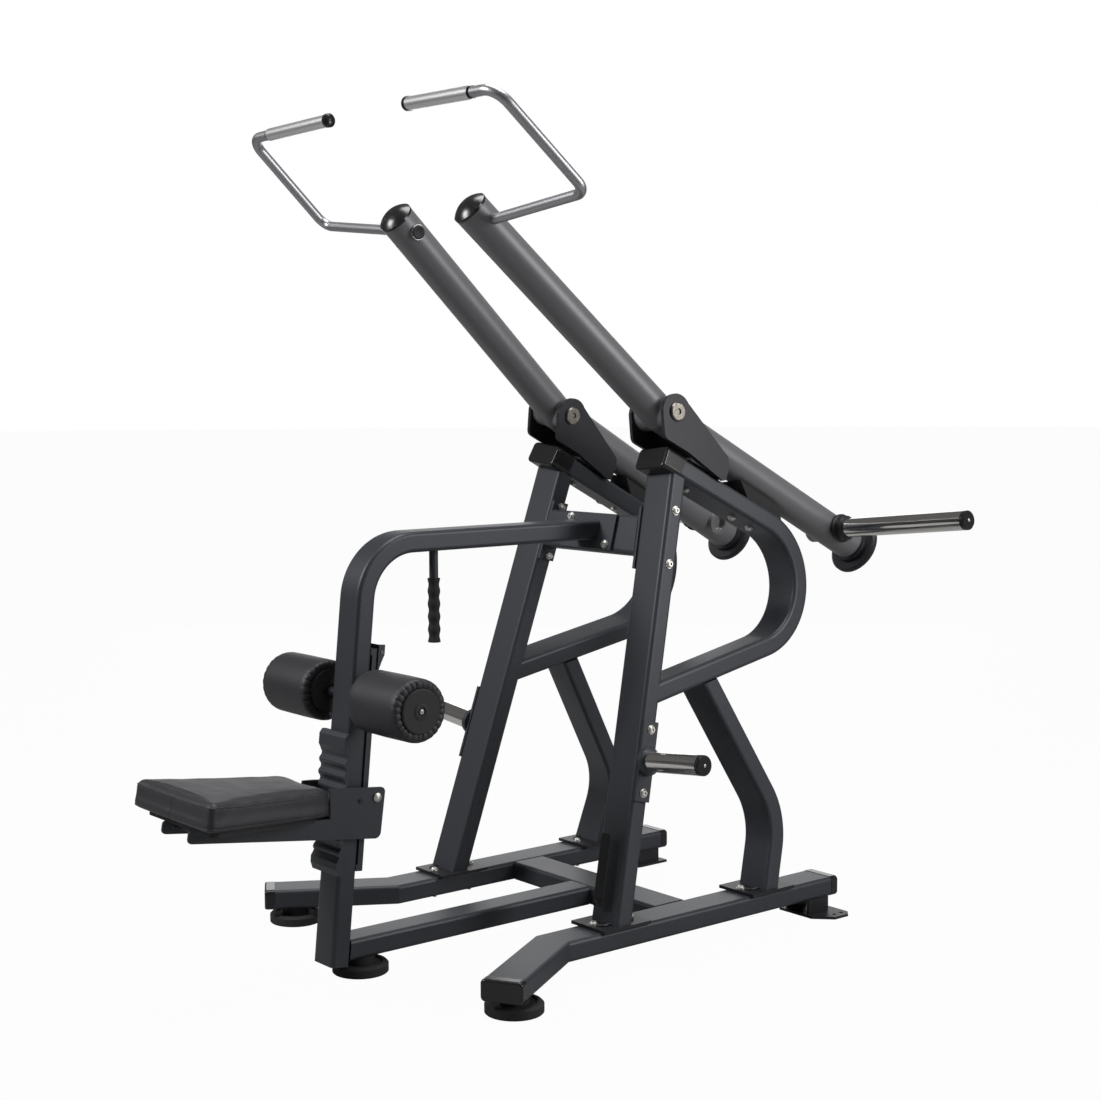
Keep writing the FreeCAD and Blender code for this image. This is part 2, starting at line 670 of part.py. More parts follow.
def hood():
    """The moulded cover over the front end of the side tube and the upright's top."""
    lip, long, ahead = 4, 66, 14
    wide, deep = mm("tube_wide") + 2 * lip, mm("tube_deep") + 2 * lip
    box = Part.makeBox(wide, deep, long, Vector(-wide / 2, -deep / 2, -ahead))
    edges = [e for e in box.Edges if abs(e.tangentAt(0).z) > 0.9]
    box = box.makeFillet(mm("tube_corner") + lip / 2, edges)
    front = min(box.Faces, key=lambda f: f.CenterOfMass.z)
    box = box.makeFillet(6, front.Edges)
    core = Part.makeBox(mm("tube_wide"), mm("tube_deep"), long, Vector(-HALF_WIDE, -HALF_DEEP, 0))
    core = core.makeFillet(mm("tube_corner"), [e for e in core.Edges if abs(e.tangentAt(0).z) > 0.9])
    return box.cut(core)


hood_solid = solid("hood", hood(), SIDE * Placement(on_top(mm("top_front")), tilt(-mm("top_slope"))))
both_sides("side_tube_caps", cut("hood_cut", hood_solid, upright_filled))

# ================================================================== UPPER CROSSBAR AND SEAT TUBE
bar_world = SIDE.multVec(bar_center)
lean_world = Rotation(Vector(1, 0, 0), -mm("upright_lean"))
bar_turn = lean_world * Rotation(Vector(0, 1, 0), 90)
bar_reach = mm("rail_offset")
bar_run = straight_tube("bar_run", Placement(Vector(-bar_reach, bar_world.y, bar_world.z), bar_turn),
                        "2 * rail_offset")
plate_face = -HALF_WIDE - mm("plate_thick")
right_trim = half_space("bar_trim", SIDE * facing(Vector(plate_face, 0, 0), outboard))
bar_cut = cut("bar_cut", bar_run, right_trim, mirrored("bar_trim_left", right_trim))
end_plate_box = block("end_plate_box", SIDE * Placement(bar_center + Vector(plate_face, 0, 0), Rotation())
                      * Placement(Vector(), tilt(90 - mm("upright_lean")))
                      * Placement(Vector(mm("plate_thick") / 2, 0, -mm("bar_plate_tall") / 2), Rotation()),
                      "plate_thick", "tube_deep", "bar_plate_tall")
end_plate = cut("end_plate", end_plate_box, solid("end_plate_holes", side_holes, SIDE))
flange_seat = Placement(Vector(0, bar_world.y, bar_world.z), lean_world)
flange_bolts = [(-76, 33), (76, -33)]
flange_front = -HALF_DEEP - mm("plate_thick")
flange_seats = [flange_seat * facing(Vector(x, flange_front, z), -REAR) for x, z in flange_bolts]
flange_tools = Part.makeCompound([hole(p, 80) for p in flange_seats])
keep("upper_crossbar", cut("upper_crossbar_drilled", fuse("upper_crossbar", bar_cut, end_plate,
     mirrored("end_plate_left", end_plate)), solid("bar_flange_holes", flange_tools)))

flange_box = block("flange_box", flange_seat * Placement(
    Vector(0, -HALF_DEEP - mm("plate_thick") / 2, -mm("flange_tall") / 2), Rotation()),
    "flange_wide", "plate_thick", "flange_tall")
keep("seat_tube_flange", cut("flange_cut", flange_box, solid("flange_holes", flange_tools)))

post_corner = crossing(post_foot, post_dir, Vector(0, 0, mm("post_top")), REAR)
post_route = [on_post(mm("post_bottom")), post_corner, Vector(0, 60, mm("post_top"))]
post_body = bent_tube("seat_tube_run", at(), post_route, mm("post_radius"), "post_wide")
bar_front = half_space("post_trim", flange_seat * facing(Vector(0, flange_front, 0), REAR))
roller_line = on_post(mm("roller_z"))
axle_seat = at(0, roller_line.y, mm("roller_z"), Rotation(Vector(0, 1, 0), 90))
axle_hole = solid("axle_hole", hole(axle_seat, 200, mm("axle_wide")))
stem_y, stem_wide, stem_long = -465, 22, 70
stem_hole = solid("stem_hole", hole(at(0, stem_y, mm("post_top") - HALF_DEEP), 12, 12))
keep("seat_tube", cut("seat_tube_cut", post_body, bar_front, axle_hole, stem_hole))

# A plug closes the post's lower end.
plug_frame = at() * Placement(on_post(mm("post_bottom")), tilt(90 - mm("post_lean")))
plug = Part.makeBox(mm("post_wide") - 2 * mm("tube_wall") - 2, mm("tube_deep") - 2 * mm("tube_wall") - 2, 12,
                    Vector(-mm("post_wide") / 2 + mm("tube_wall") + 1, -HALF_DEEP + mm("tube_wall") + 1, 0))
plug = plug.makeFillet(mm("tube_corner") - mm("tube_wall"),
                       [e for e in plug.Edges if abs(e.tangentAt(0).z) > 0.9])
keep("tube_end_caps", group("end_caps", rear_cap, front_cap, mirrored("rail_cap_3", rear_cap),
                            mirrored("rail_cap_4", front_cap), solid("post_plug", plug, plug_frame)))

# Hanging handle under the level run, screwed up into it.
stem_top = mm("post_top") - HALF_DEEP
stem = turned([(0, -stem_long), (stem_wide / 2, -stem_long), (stem_wide / 2, 0), (6, 0), (6, 10), (0, 10)])
keep("hanging_stem", solid("hanging_stem", stem, at(0, stem_y, stem_top)))
grip_top, grip_drop, ring_count = -stem_long, 157, 5
swell, waist = 15.5, 13
ring = grip_drop / ring_count
grip_edge = [(waist + (swell - waist) * (0.5 + 0.5 * math.cos(2 * math.pi * i / 8)), grip_top - ring * i / 8)
             for i in range(8 * ring_count + 1)]
grip_line = Part.BSplineCurve()
grip_line.interpolate([Vector(r, 0, z) for r, z in grip_edge])
low = Vector(0, 0, grip_top - grip_drop)
grip_face = Part.Face(Part.Wire([grip_line.toShape(),
                                 Part.makeLine(Vector(grip_edge[-1][0], 0, grip_edge[-1][1]), low),
                                 Part.makeLine(low, Vector(0, 0, grip_top)),
                                 Part.makeLine(Vector(0, 0, grip_top), Vector(grip_edge[0][0], 0, grip_top))]))
keep("hanging_grip", solid("hanging_grip", grip_face.revolve(Vector(), UP, 360), at(0, stem_y, stem_top)))

# ================================================================== PIVOT BRACKETS
P = Vector(0, mm("pivot_y"), mm("pivot_w"))
ear_half = mm("ear_gap") / 2
deck = top_normal * HALF_DEEP


def bracket():
    """Two ears about the pivot joined by a base on the side tube's top run."""
    foot_front, foot_rear = on_top(112) + deck, on_top(232) + deck
    corners = [(mm("pivot_y") - mm("ear_round"), mm("pivot_w") + 8, 0),
               (mm("pivot_y") - mm("ear_round"), 1178, 20), (foot_front.y + 2, foot_front.z + 12, 12),
               (foot_rear.y + 2, foot_rear.z - 8, 10), (264, 1096, 16), (264, 1122, 14),
               (mm("pivot_y") + 42, mm("pivot_w") + 20, 0)]
    outline = Part.Face(Part.Wire([e.toShape() for e in closed_outline(corners)]))
    crown = Part.makeCylinder(mm("ear_round"), mm("ear_thick"), P, outboard)
    bore = Part.makeCylinder(mm("pin_wide") / 2, mm("ear_thick"), P, outboard)
    ear = outline.extrude(outboard * mm("ear_thick")).fuse(crown).removeSplitter().cut(bore)
    ears = [placed(ear, Placement(Vector(x, 0, 0), Rotation())) for x in (ear_half, -ear_half - mm("ear_thick"))]
    run = (on_top(232) - on_top(128)).Length
    base = Part.makeBox(mm("ear_gap"), mm("plate_thick"), run,
                        Vector(-ear_half, 0, 0))
    base.Placement = Placement(on_top(128) + deck + top_normal * mm("plate_thick"), tilt(-mm("top_slope")))
    return base.fuse(ears)


bracket_shape = bracket()
bracket_solid = solid("bracket", bracket_shape, SIDE)
right_and_left("pivot_bracket", cut("bracket_cut", bracket_solid, solid("bracket_holes", under_holes, SIDE)))


def pivot_pin():
    """Shaft through both ears with a recessed bolt cap at each end."""
    reach = ear_half + mm("ear_thick")
    shaft = Part.makeCylinder(mm("pin_wide") / 2, 2 * reach, P - outboard * reach, outboard)
    head_radius, head_rise = mm("pin_head") / 2, 7
    head = turned([(0, 0), (head_radius, 0), (head_radius, 4), (head_radius - 3, head_rise), (0, head_rise)])
    head = head.cut(Part.makeCylinder(8, 5, Vector(0, 0, 3)))
    heads = [placed(head, facing(P + outboard * s * reach, outboard * s)) for s in (1, -1)]
    return shaft.fuse(heads)


both_sides("pivot_pins", solid("pivot_pin", pivot_pin(), SIDE))

# ---- bump stops: rubber blocks between the side tube and the resting arm
rear_dir = toward(-mm("arm_fall"))
rear_normal = toward(90 - mm("arm_fall"))
arm_radius = mm("arm_wide") / 2


def under_arm(y):
    """Just under the arm's rear part at y, in the side plane."""
    axis = P + rear_dir * ((y - P.y) / rear_dir.y)
    return axis - rear_normal * (arm_radius + mm("free_gap"))


stop_front, stop_rear = on_top(340) + deck, 470
stop_corners = [(stop_front.y, stop_front.z, 0), (under_arm(350).y, under_arm(350).z, 0),
                (under_arm(488).y, under_arm(488).z, 0), (stop_rear, loop.z + 100, 0)]
stop_plain = plate("stop_plain", SIDE, stop_corners, -mm("stop_wide") / 2, "stop_wide")
side_filled = bent_tube("side_filled", SIDE, side_route, mm("loop_radius"),
                        draw=lambda s, w, d: draw_rounded_box(s, w, d, "tube_corner"))
stop_screws = solid("stop_screw_holes", under_holes, SIDE)
both_sides("bump_stops", cut("stop_cut", stop_plain, side_filled, stop_screws))

# ================================================================== STORAGE PEGS
peg_out = HALF_WIDE + peg_thick
peg_frame = SIDE * facing(peg_center + outboard * peg_out, outboard)
peg_box = block("peg_plate", SIDE * Placement(peg_center + outboard * (HALF_WIDE + peg_thick / 2), Rotation())
                * Placement(Vector(), tilt(90 - mm("upright_lean")))
                * Placement(Vector(0, 0, -peg_plate_tall / 2), Rotation()), "plate_thick", "tube_deep - 4",
                "peg_plate_tall")
peg_collar = turned([(0, 0), (mm("peg_wide") / 2 + 9, 0), (mm("peg_wide") / 2 + 9, 12),
                     (mm("peg_wide") / 2 + 6, 15), (0, 15)])
peg_bracket = cut("peg_drilled", fuse("peg_welded", peg_box, solid("peg_collar", peg_collar, peg_frame)),
                  solid("peg_holes", side_holes, SIDE))
both_sides("peg_brackets", peg_bracket)
peg_root = Placement(Vector(0, 0, 15), Rotation())
peg_tube = rod("peg_tube", peg_frame * peg_root, "peg_wide / 2", "peg_long - 15")
peg_bore = rod("peg_bore", peg_frame * peg_root, "peg_wide / 2 - 4", "peg_long - 15")
both_sides("peg_sleeves", cut("peg_sleeve", peg_tube, peg_bore))


def tube_cap(radius, length):
    """A moulded cap with a rounded rim and a screw recess."""
    shape = turned([(0, 0), (radius, 0), (radius, length - 3), (radius - 3, length), (0, length)])
    return shape.cut(Part.makeCylinder(5, 3, Vector(0, 0, length - 3)))


peg_end = peg_frame * Placement(Vector(0, 0, mm("peg_long")), Rotation())
both_sides("peg_caps", solid("peg_cap", tube_cap(mm("horn_cap_wide") / 2, 11), peg_end))

# ================================================================== ARMS
front_dir = toward(180 - mm("arm_rise"))
front_normal = toward(90 - mm("arm_rise"))
arm_route = [front_dir * mm("arm_front"), Vector(), rear_dir * mm("arm_rear")]


def arm_run(direction, length, radius):
    """One straight part of the arm, mitred at the pivot."""
    back = direction * -60
    tube_shape = Part.makeCylinder(radius, length + 60, back, direction)
    other = rear_dir if direction is front_dir else front_dir
    keep_side = (direction - other).normalize()
    reach = 3000
    tool = Part.makeBox(reach, reach, reach, Vector(-reach / 2, -reach / 2, -reach))
    tool.Placement = facing(Vector(), keep_side)
    return tube_shape.cut(tool)


def arm_tube():
    """Bent round tube with a cross boss at the pivot and one for the horn."""
    parts = [(front_dir, mm("arm_front")), (rear_dir, mm("arm_rear"))]
    outer = Part.Shape.fuse(*[arm_run(d, n, arm_radius) for d, n in parts])
    inner = Part.Shape.fuse(*[arm_run(d, n, arm_radius - mm("arm_wall")) for d, n in parts])
    boss_half = ear_half - mm("free_gap")
    boss = Part.makeCylinder(mm("boss_wide") / 2, 2 * boss_half, outboard * -boss_half, outboard)
    horn_point = rear_dir * mm("horn_at")
    horn_boss = Part.makeCylinder(mm("horn_wide") / 2 + 8, arm_radius * 2 + 10,
                                  horn_point - outboard * (arm_radius + 10), outboard)
    bush_bore = Part.makeCylinder(BUSH_RADIUS, 2 * boss_half, outboard * -boss_half, outboard)
    horn_bore = Part.makeCylinder(HORN_ROOT, 3 * arm_radius, horn_point - outboard * 1.5 * arm_radius,
                                  outboard)
    handle_bore = Part.makeCylinder(mm("handle_wide") / 2, 3 * arm_radius,
                                    front_dir * mm("handle_at") - outboard * 1.5 * arm_radius, outboard)
    return outer.cut(inner).fuse([boss, horn_boss]).cut([bush_bore, horn_bore, handle_bore])


BUSH_RADIUS = mm("pin_wide") / 2 + 5
HORN_ROOT = mm("horn_wide") / 2 - 1.5
right_and_left("arm_tube", solid("arm_tube", arm_tube(), ARM))


def bush(length):
    """A flanged bearing bush in the arm's boss, running on the pivot pin."""
    ring_shape = Part.makeCylinder(BUSH_RADIUS, length).cut(
        Part.makeCylinder(mm("pin_wide") / 2 + mm("run_fit"), length))
    start = ear_half - mm("free_gap") - length
    return [placed(ring_shape, facing(outboard * s * start, outboard * s)) for s in (1, -1)]


right_and_left("pivot_bushes", solid("pivot_bushes", Part.makeCompound(bush(32)), ARM))

horn_frame = ARM * facing(rear_dir * mm("horn_at"), outboard)
collar_start, collar_bore = arm_radius, HORN_ROOT
horn_start, horn_open = -arm_radius + 2, collar_start + 27
horn_tube = Part.makeCylinder(HORN_ROOT, horn_open - horn_start, Vector(0, 0, horn_start))
horn_tube = horn_tube.fuse(Part.makeCylinder(mm("horn_wide") / 2, mm("horn_reach") - horn_open,
                                             Vector(0, 0, horn_open)))
horn_tube = horn_tube.cut(Part.makeCylinder(mm("horn_wide") / 2 - 5, mm("horn_reach") - horn_start,
                                            Vector(0, 0, horn_start + 6)))
right_and_left("horn", solid("horn_tube", horn_tube, horn_frame))
collar_profile = [(collar_bore, collar_start), (collar_bore + 15, collar_start), (collar_bore + 15, collar_start + 7),
                  (collar_bore + 10, collar_start + 9), (collar_bore + 10, collar_start + 24),
                  (collar_bore + 7, horn_open), (collar_bore, horn_open)]
right_and_left("horn_collar", solid("horn_collar", turned(collar_profile), horn_frame))


def dome(radius, rise, rim):
    """A cap: a short straight rim and a crowned end."""
    ball = (radius * radius + rise * rise) / (2 * rise)
    cylinder = Part.makeCylinder(radius, rim + rise)
    sphere = Part.makeSphere(ball, Vector(0, 0, rim + rise - ball))
    return cylinder.common(sphere)


dome_cap = dome(arm_radius + 0.8, mm("dome_rise"), 6)

# Handle: out from the arm, up along it and back inward to the grip.
root = front_dir * mm("handle_at")
elbow = root + outboard * mm("handle_out")
shoulder = elbow + front_dir * mm("handle_up")
inward = (outboard * -0.988 + front_dir * 0.056 + front_normal * 0.127).normalize()
tip = shoulder + inward * mm("handle_in")
inner_end = root - outboard * (arm_radius + 6)
handle = tube_along([inner_end, elbow, shoulder, tip], [32, 46], mm("handle_wide"),
                    mm("handle_wide") - 2 * mm("handle_wall"))
ring_shape = Part.makeCylinder(19, 5, root - outboard * (arm_radius + 5), outboard)
ring_shape = ring_shape.cut(Part.makeCylinder(mm("handle_wide") / 2, 5, root - outboard * (arm_radius + 5), outboard))
handle_plug = Part.makeCylinder(mm("handle_wide") / 2 - mm("handle_wall"), 5, inner_end, outboard)
saddle = Part.makeCylinder(arm_radius, 200, front_dir * (mm("handle_at") - 100), front_dir)
right_and_left("handle", solid("handle", handle.fuse([handle_plug, ring_shape.cut(saddle)]), ARM))
grip_start = tip - inward * mm("grip_long")
grip_rim, collar_long = 8, 4
grip_tube = Part.makeCylinder(mm("grip_wide") / 2, mm("grip_long") - grip_rim, grip_start, inward)
grip_tube = grip_tube.cut(Part.makeCylinder(mm("handle_wide") / 2, mm("grip_long"), grip_start, inward))
right_and_left("grip", solid("grip", grip_tube, ARM))
collar_root = grip_start - inward * collar_long
grip_collar = Part.makeCylinder(mm("grip_wide") / 2 - 0.8, collar_long, collar_root, inward)
grip_collar = grip_collar.cut(Part.makeCylinder(mm("handle_wide") / 2, collar_long, collar_root, inward))
grip_cap = placed(dome(mm("grip_wide") / 2 + 1.5, 5, grip_rim), facing(tip - inward * grip_rim, inward))
grip_cap = grip_cap.cut(Part.makeCylinder(mm("handle_wide") / 2, grip_rim, tip - inward * grip_rim, inward))
horn_cap = placed(tube_cap(mm("horn_cap_wide") / 2, mm("horn_cap_long")),
                  facing(rear_dir * mm("horn_at") + outboard * mm("horn_reach"), outboard))
arm_caps = Part.makeCompound([placed(dome_cap, Placement(front_dir * mm("arm_front"), tilt(180 - mm("arm_rise")))),
                              grip_collar, grip_cap, horn_cap])
right_and_left("arm_caps", solid("arm_caps", arm_caps, ARM))

# Rear disc: a cap ring on the tube's end and a thick round plate behind it.
disc_frame = Placement(rear_dir * mm("arm_rear"), tilt(-mm("arm_fall")))
neck, ring_long = arm_radius + 6, 16
disc_radius, round_over = mm("disc_wide") / 2, 5
disc_profile = [(0, 0), (neck, 0), (neck, ring_long), (disc_radius - round_over, ring_long),
                (disc_radius, ring_long + round_over), (disc_radius, ring_long + mm("disc_thick") - round_over),
                (disc_radius - round_over, ring_long + mm("disc_thick")), (0, ring_long + mm("disc_thick"))]
right_and_left("arm_disc", solid("arm_disc", placed(turned(disc_profile), disc_frame), ARM))

# ================================================================== SEAT POST FITTINGS
def rack():
    """Toothed rack on the post's front, between two stop blocks."""
    face, low = -HALF_DEEP, mm("rack_low")
    block_out, tooth_out, valley_out, block_tall = face - 18, face - 14, face - 7.5, 38
    middle = (tooth_out + valley_out) / 2
    teeth_low = low + block_tall + 8
    quarter = mm("rack_pitch") / 4
    teeth_high = teeth_low + mm("rack_pitch") * mm("rack_teeth")
    high = teeth_high + 8 + block_tall + 4
    points = [(face, low), (block_out + 7, low), (block_out, low + 16), (block_out, low + block_tall - 6),
              (block_out + 4, low + block_tall), (middle, teeth_low)]
    edges = [Part.makeLine(Vector(0, *a), Vector(0, *b)) for a, b in zip(points, points[1:])]
    for tooth in range(int(mm("rack_teeth"))):
        base = teeth_low + tooth * mm("rack_pitch")
        stations = [(middle, base), (tooth_out, base + quarter), (middle, base + 2 * quarter),
                    (valley_out, base + 3 * quarter), (middle, base + 4 * quarter)]
        spots = [Vector(0, *s) for s in stations]
        edges += [Part.Arc(*spots[0:3]).toShape(), Part.Arc(*spots[2:5]).toShape()]
    ends = [(middle, teeth_high), (block_out + 4, teeth_high + 8), (block_out, teeth_high + 14),
            (block_out, high - 10), (block_out + 7, high), (face, high), (face, low)]
    edges += [Part.makeLine(Vector(0, *a), Vector(0, *b)) for a, b in zip(ends, ends[1:])]
    outline = Part.Face(Part.Wire(edges))
    return outline.extrude(outboard * mm("rack_wide")), teeth_low


rack_shape, teeth_low = rack()
rack_shape.translate(outboard * (-mm("rack_wide") / 2))
keep("seat_rack", solid("seat_rack", rack_shape, POST))

guide_gap, guide_thick, guide_wide, guide_low, guide_high = 4, 14.5, 76, 262, 792
guide_front = HALF_DEEP + guide_gap
guide_shape = Part.makeBox(guide_wide, guide_thick, guide_high - guide_low,
                           Vector(-guide_wide / 2, guide_front, guide_low))
spacers = [Part.makeBox(guide_wide, guide_gap, 16, Vector(-guide_wide / 2, HALF_DEEP, z))
           for z in (guide_low, guide_high - 16)]
keep("seat_guide", solid("seat_guide", guide_shape.fuse(spacers), POST))

# Lug behind the guide, and the gas spring between it and the seat's axle.
axle_y = guide_front + guide_thick + 9.5
spring_y, spring_top = axle_y, 792
lug_tall, lug_thick = 80, 6
lug_points = [(guide_front + guide_thick, spring_top - lug_tall + 20), (spring_y + 2, spring_top - 28),
              (spring_y + 8, spring_top - 14), (spring_y + 8, spring_top + 10),
              (guide_front + guide_thick, spring_top + 10)]
lug_face = Part.Face(Part.makePolygon([Vector(0, *p) for p in lug_points + lug_points[:1]]))
lug_half = mm("post_wide") / 2
lug_bore = Part.makeCylinder(4, 2 * lug_half, Vector(-lug_half, spring_y, spring_top - 8), outboard)
lugs = [placed(lug_face.extrude(outboard * lug_thick), Placement(Vector(x, 0, 0), Rotation())).cut(lug_bore)
        for x in (-lug_half, lug_half - lug_thick)]
lug_back = Part.makeBox(2 * lug_half, 1.5, lug_tall - 10,
                        Vector(-lug_half, guide_front + guide_thick, spring_top - lug_tall + 20))
keep("spring_lug", solid("spring_lug", lug_back.fuse(lugs), POST))
rod_radius, tube_radius = 4, 7.5
seat_axle_z = 442
cylinder_low, cylinder_high = seat_axle_z + 12, 632
rod_low = cylinder_high - 60
spring_rod = Part.makeCylinder(rod_radius, spring_top - 8 - rod_low, Vector(0, spring_y, rod_low))
rod_eye = Part.makeCylinder(7, 17, Vector(-8.5, spring_y, spring_top - 8), outboard)
rod_pin = Part.makeCylinder(4, 2 * lug_half + 4, Vector(-lug_half - 2, spring_y, spring_top - 8), outboard)
keep("spring_rod", solid("spring_rod", spring_rod.fuse([rod_eye, rod_pin]), POST))

# ================================================================== THIGH ROLLERS
axle_half = mm("roller_gap") + mm("roller_long") - 8
axle = Part.makeCylinder(mm("axle_wide") / 2, 2 * axle_half, Vector(0, 0, -axle_half))
shoulder_rings = [Part.makeCylinder(mm("axle_wide") / 2 + 6, 6, Vector(0, 0, s)) for s in
                  (mm("roller_gap") - 6.5, -mm("roller_gap") + 0.5)]
keep("roller_axle", solid("roller_axle", axle.fuse(shoulder_rings), axle_seat))

core_radius, core_bore = 24, mm("axle_wide") / 2 + mm("run_fit")
flange_radius, flange_thick = 52, 5
roller_start, roller_end = mm("roller_gap"), mm("roller_gap") + mm("roller_long")
core_profile = [(core_bore, roller_start), (flange_radius, roller_start), (flange_radius, roller_start + flange_thick),
                (core_radius, roller_start + flange_thick), (core_radius, roller_end - flange_thick),
                (flange_radius, roller_end - flange_thick), (flange_radius, roller_end - 2),
                (flange_radius - 3, roller_end), (core_bore + 3, roller_end), (core_bore, roller_end - 3)]
right_and_left("roller_core", solid("roller_core", turned(core_profile), axle_seat))
foam_radius, foam_start, foam_end = mm("roller_wide") / 2, roller_start + flange_thick, roller_end - flange_thick
foam_profile = [(core_radius, foam_start), (foam_radius - 12, foam_start), (foam_radius - 4, foam_start + 3),
                (foam_radius, foam_start + 11), (foam_radius, foam_end - 11), (foam_radius - 4, foam_end - 3),
                (foam_radius - 12, foam_end), (core_radius, foam_end)]
right_and_left("roller_foam", solid("roller_foam", turned(foam_profile), axle_seat))

# ================================================================== SEAT
pawl_spot, tail_spot = (-50.5, 373), (guide_front + guide_thick + 13, 347)
seat_axle_wide, roller_radius = 14, 9
plate_in, plate_out = mm("seat_gap") / 2, mm("seat_gap") / 2 + mm("seat_plate")
axle_point = POST.multVec(Vector(0, axle_y, seat_axle_z))
SEAT = POST * Placement(Vector(0, axle_y, seat_axle_z), Rotation())
SEAT = Placement(SEAT.Base, Rotation())
seat_axle = Part.makeCylinder(seat_axle_wide / 2, 2 * plate_out + 2, outboard * (-plate_out - 1), outboard)
seat_heads = [placed(dome(11, 3, 3), facing(outboard * s * (plate_out + 1), outboard * s)) for s in (1, -1)]
eye_half, eye_radius = 6, 11
seat_rollers = [Part.makeCylinder(roller_radius, plate_in - eye_half - 4, outboard * (s * (eye_half + 1)),
                                  outboard * s) for s in (1, -1)]
keep("seat_axle", solid("seat_axle", seat_axle.fuse(seat_heads + seat_rollers), SEAT))

cylinder = Part.makeCylinder(tube_radius, cylinder_high - cylinder_low, Vector(0, spring_y, cylinder_low))
cylinder = cylinder.cut(Part.makeCylinder(rod_radius + mm("run_fit"), cylinder_high - cylinder_low - 6,
                                          Vector(0, spring_y, cylinder_low + 6)))
eye_center = Vector(0, spring_y, seat_axle_z)
eye = Part.makeCylinder(eye_radius, 2 * eye_half, eye_center - outboard * eye_half, outboard)
eye = eye.cut(Part.makeBox(40, 10, 40, Vector(-20, guide_front + guide_thick - 9.5, seat_axle_z - 20)))
axle_bore = Part.makeCylinder(seat_axle_wide / 2, 2 * eye_half, eye_center - outboard * eye_half, outboard)
keep("spring_cylinder", solid("spring_cylinder", cylinder.fuse(eye).cut(axle_bore), POST))

# Seat weldment: two side plates that carry the pad, joined by straps, a pawl pin and a tail pin.
pad_slope = math.degrees(math.atan2(30, -mm("seat_front") + mm("seat_back")))
pad_back_top = 481
board_thick = 12


def seat_point(y, z):
    """A point of the seat given from the crossbar and floor, in the seat's own frame."""
    return y - mm("foot_y") - SEAT.Base.y, z - SEAT.Base.z


def under_pad(y):
    """Height under the pad's board at y."""
    rise = (mm("seat_back") - y) * math.tan(math.radians(pad_slope))
    return pad_back_top - (mm("pad_thick") + board_thick) / math.cos(math.radians(pad_slope)) + rise


plate_corners = [(-657, 456, 12), (-783, 470, 4), (-812, 472, 4), (-812, under_pad(-812), 0),
                 (-1178, under_pad(-1178), 8), (-1183, 401, 10), (-674, 334, 16)]
plate_corners = [(*seat_point(y, z), r) for y, z, r in plate_corners]
seat_plate = plate("seat_plate_right", SEAT, plate_corners, plate_in, "seat_plate")
seat_plate = cut("seat_plate_bored", seat_plate, solid("seat_bore", Part.makeCylinder(
    seat_axle_wide / 2 + mm("run_fit"), 20, outboard * (plate_in - 5), outboard), SEAT))
straps = []
for y in (-1130, -985, -870):
    top_y, top_z = seat_point(y, under_pad(y))
    straps.append(Part.makeBox(2 * plate_in, 40, 6, Vector(-plate_in, top_y - 20, top_z - 14)))
pawl = Part.makeCylinder(5.5, 2 * plate_in, Vector(-plate_in, pawl_spot[0] - axle_y, pawl_spot[1] - seat_axle_z),
                         outboard)
tail = Part.makeCylinder(4, 2 * plate_in, Vector(-plate_in, tail_spot[0] - axle_y, tail_spot[1] - seat_axle_z),
                         outboard)
turn_post = Placement(Vector(), POST.Rotation)
cross_pins = [placed(shape, turn_post) for shape in (pawl, tail)]
keep("seat_frame", fuse("seat_frame", seat_plate, mirrored("seat_plate_left", seat_plate),
                        solid("seat_straps", Part.makeCompound(straps), SEAT),
                        solid("seat_pins", Part.makeCompound(cross_pins), SEAT)))
glide_y, glide_z = seat_point(-729, 432)
glide = Part.makeCylinder(13, plate_in - mm("post_wide") / 2 - mm("free_gap"),
                          Vector(mm("post_wide") / 2 + mm("free_gap"), glide_y, glide_z), outboard)
glide_head = Part.makeCylinder(5, 3, Vector(plate_out, glide_y, glide_z), outboard)
both_sides("seat_glides", solid("seat_glide", Part.makeCompound([glide, glide_head]), SEAT))


def trapezoid(front, back, front_half, back_half, low, thick, front_round, back_round):
    """A tilted slab with rounded corners: its outline lies in the pad's own plane."""
    corners = [(-back_half, back, back_round), (back_half, back, back_round),
               (front_half, front, front_round), (-front_half, front, front_round)]
    edges = [e.toShape() for e in closed_outline(corners)]
    face = Part.Face(Part.Wire(edges))
    slab = face.extrude(outboard * thick)
    flatten = Rotation(Vector(1, 1, 1), -120)
    slab.Placement = Placement(Vector(0, 0, low), Rotation(Vector(1, 0, 0), -pad_slope) * flatten)
    return slab


slope_cos = math.cos(math.radians(pad_slope))
pad_long = (mm("seat_back") - mm("seat_front")) / slope_cos
pad_seat = at(0, mm("seat_back"), pad_back_top)
pad_shape = trapezoid(-pad_long, 0, mm("pad_front_wide") / 2, mm("pad_back_wide") / 2, 0, -mm("pad_thick"), 22, 38)
keep("seat_pad", solid("seat_pad", pad_shape, pad_seat))
board = trapezoid(-pad_long + 30, -28, mm("pad_front_wide") / 2 - 30, mm("pad_back_wide") / 2 - 24, 0,
                  -board_thick, 20, 30)
board.translate(Rotation(Vector(1, 0, 0), -pad_slope).multVec(Vector(0, 0, -mm("pad_thick"))))
keep("seat_board", solid("seat_board", board, pad_seat))

